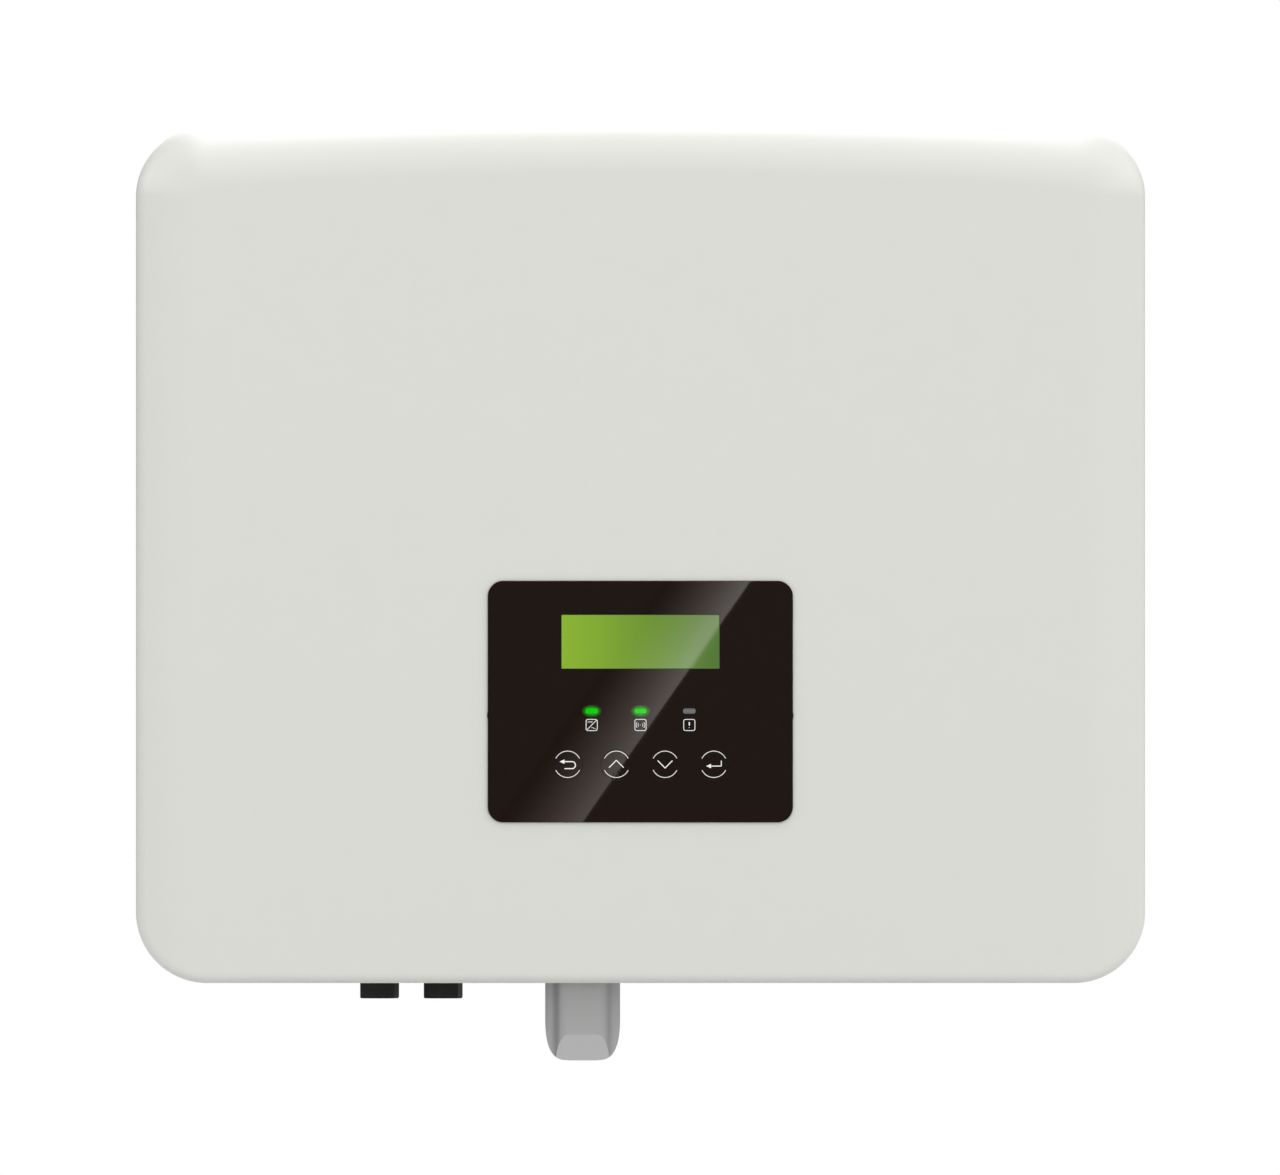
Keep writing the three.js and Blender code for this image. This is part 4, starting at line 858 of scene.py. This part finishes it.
# %% [markdown]
# Under each lamp is a small square sign: direct to alternating current, radio link, and
# warning. Their outlines are rounded squares.

# %% Lamp signs
SIGN_Z = LAMP_PLACES[0][2] - 6.64
signs = []
for middle in LAMP_PLACES:
    square = rounded_rectangle(5.35, 5.35, 0.9, 8) + np.array([middle[0], SIGN_Z])
    signs.append(stroke(np.concatenate([square, square[:1]]), 0.32, closed=True))


def sign_stroke(lamp, path, width, widths=None):
    """A stroke of a lamp's sign, about the middle of its square."""
    middle = np.array([LAMP_PLACES[lamp][0], SIGN_Z])
    signs.append(stroke(np.asarray(path) + middle, width, widths=widths))


wave = np.linspace(0, 1, 24)
sign_stroke(0, [(-2.4, -2.4), (2.4, 2.4)], 0.3)
sign_stroke(0, [(-1.95, 1.56), (0.49, 1.56)], 0.2)
for left in (-2.0, -1.13, -0.26):
    sign_stroke(0, [(left, 1.14), (left + 0.5, 1.14)], 0.18)
sign_stroke(0, np.stack([-0.2 + 2.1 * wave, -1.46 + 0.3 * np.sin(2 * math.pi * wave)], -1), 0.22)
sign_stroke(1, [(-0.12, 0), (0.12, 0)], 0.5)
for radius in (1.15, 2.05):
    sign_stroke(1, arc_path(0, 0, radius, -42, 42), 0.24)
    sign_stroke(1, arc_path(0, 0, radius, 138, 222), 0.24)
sign_stroke(2, [(0, 1.35), (0, -0.25)], 0.62, ([0, 1], [0.62, 0.5]))
sign_stroke(2, [(0, -1.05), (0, -1.35)], 0.6)
add_piece("lamp_signs", merged(*signs), ink)
print("lamp sign strokes", len(signs))

# %% [markdown]
# ## Monitoring dongle
#
# Level cuts through the moulded case all have one plan: a flat raised plateau, steep flanks,
# round wings and round rear corners. Each ring is that plan, held inside the width of the
# silhouette, which closes like an ellipse, and behind the slanted facet at its height.

# %% Dongle case
CASE_LOW, CASE_HIGH, CASE_MIDDLE = place("dongle_shell")
CASE_TOP = BASE + 22
CASE_HALF = 17.95
PLATEAU, BEND_X, BEND_Y = 7.2, 5.9, 10.0
FACET_RISE, FACET_DEPTH = 12.4, 7.6
FLANK_DEPTH = 6.2
WING_RADIUS, REAR_RADIUS = 3.9, 5


def bend_angle(depth):
    """The angle of the elliptic bend at a depth behind the plateau."""
    return math.acos(1 - depth / BEND_Y)


def half_plan(depth):
    """Half of the plan, from the middle of the front to the middle of the back, for a facet
    at a depth: a flat front, the rest of the elliptic bend, and one fixed path round the
    wing and the rear. The flat front ends at the same point of each ring, so the facet's
    edge is a line of the grid."""
    first, last = bend_angle(min(depth, FLANK_DEPTH - 0.3)), bend_angle(FLANK_DEPTH)
    angle = np.linspace(first, last, 26)
    flat_end = PLATEAU + BEND_X * math.sin(first)
    front = np.stack([np.linspace(0, flat_end, 12), np.full(12, depth)], -1)
    bend = np.stack([PLATEAU + BEND_X * np.sin(angle), BEND_Y * (1 - np.cos(angle))], -1)
    back = CASE_HIGH[1] - CASE_LOW[1]
    wing = [(CASE_HALF - WING_RADIUS + WING_RADIUS * math.sin(a), 12.03 - WING_RADIUS * math.cos(a))
            for a in np.linspace(0.3, math.pi / 2, 10)]
    rear = [(CASE_HALF - REAR_RADIUS + REAR_RADIUS * math.cos(a),
             back - REAR_RADIUS + REAR_RADIUS * math.sin(a))
            for a in np.linspace(0, math.pi / 2, 9)]
    t = np.linspace(0, 1, 9)[:, None]
    valley = np.array([bend[-1][0] + 0.32, 7.5])
    fillet = (1 - t) ** 2 * bend[-1] + 2 * t * (1 - t) * valley + t**2 * np.array(wing[0])
    around, _ = resampled(np.concatenate([fillet, wing[1:], rear, [(0, back)]]), 0.3)
    return np.concatenate([front, bend[1:], around[1:]])


CORNER_REACH, CORNER_HEIGHT, CORNER_POWER = 11.2, 22.0, 2.8
TOP_START = 59.1
curve_rise = CORNER_HEIGHT * (1 - np.cos(np.linspace(0, math.pi / 2, 48)))
facet_rises = FACET_RISE - np.array([0.0, 0.02, 0.1, 0.25, 0.5, 0.9])
rise = np.unique(np.concatenate([curve_rise, facet_rises, [
    12.8, 20, 26, 34, 44, 54, 58.4, TOP_START, 59.5, 59.7]]))
depth = np.clip(FACET_DEPTH * (1 - rise / FACET_RISE), 0, None)
half = np.stack([half_plan(step) for step in depth])
plan = np.concatenate([half, half[:, -2:0:-1] * np.array([-1, 1])], 1)
share_down = np.clip(1 - (rise - 0.1) / CORNER_HEIGHT, 0, 1)
narrowing = CORNER_REACH * (1 - (1 - share_down**CORNER_POWER) ** (1 / CORNER_POWER))
case_half = (CASE_HALF - narrowing)[:, None]
top_inset = np.clip(rise - TOP_START, 0, 1)[:, None]
x = np.clip(plan[..., 0], -case_half, case_half) * (1 - 0.03 * top_inset)
y = CASE_LOW[1] + np.maximum(plan[..., 1], depth[:, None])
levels = np.broadcast_to((CASE_LOW[2] + rise)[:, None], x.shape)
case = skin(np.stack([x + CASE_MIDDLE[0], y, levels], -1))
collar = skin(turned([(12, CASE_TOP - 1), (12, CASE_HIGH[2])], CASE_MIDDLE[0], CASE_MIDDLE[1],
                     soft=0.3, hub=0.6))
add_piece("dongle_case", merged(case, collar), dongle_plastic, "dongle_shell", sharp=26)
print("dongle hangs", (BASE - CASE_LOW[2]).round(1), "mm below the cover")

# %% [markdown]
# The slanted facet is painted paler than the light alone would make it, a painted highlight,
# and the creases beside the plateau are painted darker, a painted shade that is lighter on the
# right. A point belongs to a crease by how far to the side it lies, and to the facet when it
# lies in the facet's plane.

# %% Painted crease shade and facet highlight
CREASE_PLACE = 12.7
across, inward, upward = dongle_plastic.tree.axes()
sideways = across / MM - float(CASE_MIDDLE[0])
from_crease = (sideways.math("ABSOLUTE") - CREASE_PLACE).math("ABSOLUTE")
crease_painted_shade = 1 - from_crease.between(0.3, 2.7)
on_right = sideways.between(-2.0, 2.0)
# Painted shade: the creases are darkened, more on the left than on the right.
dongle_plastic.lay(crease_painted_shade * (0.9 - 0.4 * on_right), shade(158, 158, 159))
share_up = (upward - float(CASE_LOW[2]) * MM) / (FACET_RISE * MM)
behind = (inward - float(CASE_LOW[1]) * MM) / MM - (1 - share_up) * FACET_DEPTH
facet_painted_highlight = (1 - behind.math("ABSOLUTE").between(0.02, 0.06)) * (1 - share_up.between(0.995, 1.0))
# Painted highlight: the facet is laid over with a paler grey than the rest of the plastic.
dongle_plastic.lay(facet_painted_highlight, shade(202, 202, 203))
print("facet rises", FACET_RISE, "mm")

# %% [markdown]
# ## Connectors and caps
#
# Connectors, caps and glands are turned pieces. Their profile lists radius and height, ribs
# give the grip, and flats turn a collar into a hexagon whose corners show the arcs that a
# conical chamfer leaves.

# %% Turned plugs
CAP_TURN = 0.31
SIXTH = math.pi / 6


def post(node, profile, sides=96, shift=(0, 0), **shape):
    """A turned skin about a CAD node's middle. Heights count from the cover's lower edge."""
    x, y, _ = place(node)[2] + np.array([*shift, 0])
    return skin(turned(profile, x, y, sides, base=BASE, **shape))


def plug(name, node, profile, finish=black_plastic, **shape):
    """A turned piece in a CAD node's place."""
    add_piece(name, post(node, profile, **shape), finish, node)


for number in (1, 2, 3, 4):
    plug(f"solar_socket_{number}", f"solar_connector_{number}",
         [(5, 2.3), (5, 20), (8.2, 20), (8.2, 40.7), (10, 40.7), (10, 44.7), (6.5, 44.7),
          (6.5, 57)], ribs=(12, 0.5, 24, 38))
    plug(f"solar_stopper_{number}", f"solar_cap_{number}",
         [(9.0, -8), (9.69, -7.55), (9.69, -0.7), (8.6, 0), (7.6, 0), (7.6, 19.7), (5.4, 19.7),
          (5.4, 2)],
         sides=180, ribs=(18, 0.35, 1, 15), flats=[(16.8, CAP_TURN, -8, 0)], soft=0.12)
for number in (1, 2):
    plug(f"battery_socket_{number}", f"battery_connector_{number}",
         [(7.5, 7.3), (7.5, 21), (10.5, 21), (10.5, 41.7), (12.5, 41.7), (12.5, 44.7),
          (8, 44.7), (8, 55)], ribs=(16, 0.5, 25, 38))
    plug(f"battery_stopper_{number}", f"battery_cap_{number}",
         [(10.8, 5), (10.8, 20.7), (7.8, 20.7), (7.8, 7)],
         sides=144, ribs=(24, 0.6, 7.5, 18), soft=0.6)
for name in ("grid", "backup"):
    plug(f"{name}_stopper", f"{name}_cap",
         [(17.6, 6), (17.6, 23.7), (13.8, 23.7), (13.8, 8.2)],
         sides=144, ribs=(12, 1.4, 8, 21), soft=0.9)
    node = f"{name}_connector"
    _, _, (x, y, _) = place(node)
    socket = post(node, [(13.5, 8.5), (13.5, 24), (16.5, 24), (16.5, 41.5), (15, 41.5),
                         (15, 55)])
    flange = skin(prism(shrinking(43, 43, 6, 10, 1), BASE + 40.7, BASE + 44.7, 0.6, x, y))
    bolts = [post(node, [(2.4, 39.9), (2.4, 41)], 24, (16.5 * side, 16.5 * row), soft=0.3,
                  hub=0.3) for side in (-1, 1) for row in (-1, 1)]
    add_piece(f"{name}_socket", merged(socket, flange, *bolts), black_plastic, node)
for number in (1, 2):
    plug(f"gland_{number}", f"cable_gland_{number}",
         [(5.6, 12), (7.5, 15.5), (7.5, 21.7), (11, 21.7), (12.7, 23.6), (12.7, 33), (11, 34.7),
          (10.5, 34.7), (10.5, 37.7), (12, 37.7), (13.85, 39.2), (13.85, 43.2), (12, 44.7),
          (8, 44.7), (8, 55)],
         sides=180, flats=[(24, 0, 37.7, 44.7), (22, SIXTH, 21.7, 34.7)], soft=0.25)
plug("breather", "vent_valve",
     [(7.5, 36.7), (7.5, 40.7), (8.5, 40.7), (9.8, 41.6), (9.8, 43.8), (8.5, 44.7),
      (5, 44.7), (5, 55)],
     sides=144, ribs=(20, 0.4, 37.3, 40.3), flats=[(17, 0, 40.7, 44.7)], soft=0.25)
plug("earth_bolt", "earth_screw",
     [(4, 40), (4.6, 40.5), (4.6, 43.5), (6, 43.5), (6, 44.7), (2.5, 44.7), (2.5, 55)],
     zinc_steel, sides=120, flats=[(8, 0, 40, 43.5)], soft=0.15)
plug("dongle_port", "dongle_socket",
     [(14, 38.7), (14, 44.7), (10, 44.7), (10, 59), (0.5, 59), (0.5, 57)], soft=0.3, hub=6.8)

# %% [markdown]
# The isolator knob turns with its own body. A dial with a ribbed rim carries a bar to grip.

# %% Isolator knob
_, _, KNOB = place("isolator_knob")
dial = post("isolator_knob", [(17, 36.7), (19, 38.2), (19, 42.7), (4, 42.7), (4, 64.3)], 144,
            ribs=(36, 0.35, 38.4, 42.4))
grip = skin(prism(shrinking(11, 34, 4, 10), BASE + 16.7, BASE + 37.5, 1.6, KNOB[0], KNOB[1], 6))
add_piece("knob_grip", merged(dial, grip), black_plastic, "isolator_knob", "knob")
print("knob middle", KNOB.round(1))

# %% [markdown]
# ## Sheet steel and cast housing
#
# These pieces keep their exact CAD shape, so a copy of the CAD mesh is the start. Its loose
# triangles are joined, flat faces are made whole, and a small bevel runs along sharp edges.

# %% Bevelled copies
def bevelled(name, node, finish, width, angle=28):
    """A copy of a CAD node's mesh in world place, joined, cleaned and bevelled."""
    holder = frame["nodes"][node]
    source = next(part for part in [holder, *holder.children_recursive] if part.type == "MESH")
    mesh = source.data.copy()
    mesh.transform(source.matrix_world)
    work = bmesh.new()
    work.from_mesh(mesh)
    bmesh.ops.remove_doubles(work, verts=work.verts, dist=0.00001)
    bmesh.ops.dissolve_limit(work, angle_limit=math.radians(1), verts=work.verts,
                             edges=work.edges)
    work.to_mesh(mesh)
    work.free()
    mesh.materials.clear()
    edge = dressed(name, mesh, finish, node, sharp=angle).modifiers.new("soft edges", "BEVEL")
    edge.width, edge.segments, edge.limit_method = width * MM, 2, "ANGLE"
    edge.angle_limit = math.radians(angle)
    edge.use_clamp_overlap = edge.harden_normals = True


bevelled("hanger_steel", "hanger_plate", zinc_steel, 0.35)
bevelled("spacer_steel", "lower_spacer", zinc_steel, 0.35)
bevelled("housing_casting", "rear_housing", housing_paint, 0.5)
print("bevelled copies", 3)

# %% [markdown]
# The screws are turned pieces that lie along Y, with a hexagonal socket in each head.

# %% Screws
def screw(name, node):
    """A button head screw in a CAD node's place, its head towards the back."""
    low, high, middle = place(node)
    back, rim = high[1], high[1] - 2.8
    profile = [(1.44, back - 1.6), (1.44, back), (3.1, back), (3.8, back - 0.9), (3.8, rim),
               (2, rim), (2, low[1] + 0.6), (1.5, low[1])]
    rings = facing(turned(profile, middle[0], middle[2], 48,
                          flats=[(2.5, 0, back - 2, back)], soft=0.2, hub=0.4))
    add_piece(name, skin(rings), screw_steel, node)


for kind, count in (("cover", 6), ("hanger", 2)):
    for number in range(1, count + 1):
        screw(f"{kind}_bolt_{number}", f"{kind}_screw_{number}")
print("screws", 8)

# %% [markdown]
# ## The rest of the CAD model
#
# Every other solid keeps its CAD mesh and gets a finish in its object's own material slot,
# so its mesh stays untouched. The inner pieces are rarely seen, but they come to light when
# the assembly is opened up.

# %% Inner finishes
circuit_board = Finish("circuit_board", shade(38, 92, 58), 0.45, wander=0.15, scale=500)
tree = circuit_board.tree
tracks = tree.add("ShaderNodeTexBrick", {"offset": 0.37}, {
    "Vector": tree.stretched((1.0, 0.0, 1.0)), "Scale": 90.0, "Mortar Size": 0.012}, output=1)
circuit_board.lay(tracks * 0.6, shade(120, 150, 96))

ribbon_grey = Finish("ribbon_grey", shade(150, 152, 156), 0.5, grain=0.0)
across, _, _ = ribbon_grey.tree.axes()
cores = (across * (2 * math.pi / 0.00127)).math("COSINE") * 0.5 + 0.5
ribbon_grey.lay(cores.between(0.0, 0.35) * -0.7 + 0.7, shade(96, 98, 102))

capacitor_sleeve = Finish("capacitor_sleeve", shade(44, 54, 80), 0.35, wander=0.08,
                          grain=0.004)
_, _, upward = capacitor_sleeve.tree.axes()
bands = (upward * (2 * math.pi / 0.034)).math("SINE")
capacitor_sleeve.lay(bands.between(0.9, 0.94) * 0.8, shade(196, 199, 204))

copper_winding = Finish("copper_winding", shade(178, 102, 56), 0.32, 0.7, wander=0.1,
                        grain=0.01, scale=700)
across, _, upward = copper_winding.tree.axes()
turns = ((across + upward) * (2 * math.pi / 0.0016)).math("COSINE") * 0.5 + 0.5
copper_winding.lay((1 - turns) * 0.55, shade(70, 34, 20))
print("materials", len(bpy.data.materials))

# %% Slots of the CAD nodes
NODES_OF = (
    (seal_rubber, "cover_gasket display_seal dongle_seal"),
    (heatsink_aluminium, "heatsink"),
    (zinc_steel, "display_module dongle_plug hanger_plate lower_spacer earth_screw"),
    (circuit_board, "display_board power_board control_board"),
    (ribbon_grey, "ribbon_cable"),
    (capacitor_sleeve, "capacitor_bank"),
    (copper_winding, "boost_inductor grid_choke"),
    (cover_paint, "front_cover"),
    (housing_paint, "rear_housing"),
    (panel_gloss, "display_lens return_key up_key down_key enter_key"),
    (display_green, "display_glass"),
    (dongle_plastic, "dongle_shell"),
    (screw_steel, "cover_screw hanger_screw"),
    (lamp_lit, "lamp_guide"),
)


def finish_of(node):
    """The finish whose list names the node or its start, else black plastic."""
    return next((finish for finish, starts in NODES_OF
                 if node.startswith(tuple(starts.split()))), black_plastic)


for node, holder in frame["nodes"].items():
    for part in [holder, *holder.children_recursive]:
        if part.type == "MESH":
            for slot in part.material_slots:
                slot.link = "OBJECT"
                slot.material = finish_of(node).material
print("CAD nodes dressed", len(frame["nodes"]))

# %% [markdown]
# ## Glare, floor and finish
#
# The mirror-like panel shows a window behind the photographer as a slanted pale band with a
# sharp right edge. Here a card in front of the panel glows for gloss alone. It lies where the
# band's reflection shows from the camera, only a little larger.

# %% Glare card
CARD_DEPTH = -1500.0
CARD_SCALE = 1 + (LENS_FACE - CARD_DEPTH) / (CAMERA_DISTANCE / MM + LENS_FACE)
CARD_TOP, CARD_BOTTOM, CARD_WIDTH = -98.0, -234.0, 41.0


def glare_edge(height):
    """The band's right edge on the panel leans: x rises by 0.696 for each step up."""
    return 52.85 + 0.696 * (height + 107.5)


def on_card(x, z):
    """A place on the panel, as seen from the camera's axis, carried out to the card."""
    middle = np.array(FRAME_MIDDLE)
    x, z = middle + (np.array([x, z]) - middle) * CARD_SCALE
    return x, CARD_DEPTH, z


def on_panel(value, middle):
    """A shader's coordinate on the card, in metres, carried back to the panel."""
    return (value / MM - middle) / CARD_SCALE + middle


def sheet(name, corners, finish):
    """One flat face of the studio, from four corners in millimetres."""
    mesh = bpy.data.meshes.new(name)
    mesh.from_pydata((np.array(corners) * MM).tolist(), [], [(0, 1, 2, 3)])
    mesh.materials.append(finish.material)
    return shown(name, mesh)


card_glow = Finish("card_glow", BLACK, 1.0, wander=0.0, grain=0.0, **{"Specular IOR Level": 0.0})
across, _, upward = card_glow.tree.axes()
panel_x, panel_z = (on_panel(value, middle) for value, middle in
                    zip((across, upward), FRAME_MIDDLE))
behind_edge = (glare_edge(panel_z) - panel_x) / CARD_WIDTH
fade = (1 - behind_edge).math("MAXIMUM", 0.0) ** 1.8
fade = fade * (0.7 + 0.3 * panel_z.between(-230.0, -110.0))
tint = card_glow.tree.mix(fade.between(0.4, 0.75), (1.0, 0.83, 0.75), (1.0, 0.93, 0.89))
card_glow.shine(card_glow.tree.mix(fade, BLACK, tint), 2.3)
card = sheet("glare_card", [on_card(glare_edge(z) - back, z) for z, back in (
    (CARD_BOTTOM, CARD_WIDTH), (CARD_BOTTOM, 0), (CARD_TOP, 0), (CARD_TOP, CARD_WIDTH))],
    card_glow)
card.visible_camera = card.visible_diffuse = False
card.visible_shadow = card.visible_transmission = False
print("glare card scale", round(CARD_SCALE, 4))

# %% [markdown]
# A pale floor below the hanging inverter keeps its soft shadow.

# %% Floor
FLOOR_HALF, FLOOR_LEVEL = 3000, -450
floor_paper = Finish("floor_paper", shade(216, 216, 216), 0.9, wander=0.01, grain=0.0)
floor = sheet("floor", [(x * FLOOR_HALF, y * FLOOR_HALF, FLOOR_LEVEL) for x, y in
                        ((-1, -1), (1, -1), (1, 1), (-1, 1))], floor_paper)
print("floor at", FLOOR_LEVEL, "mm")
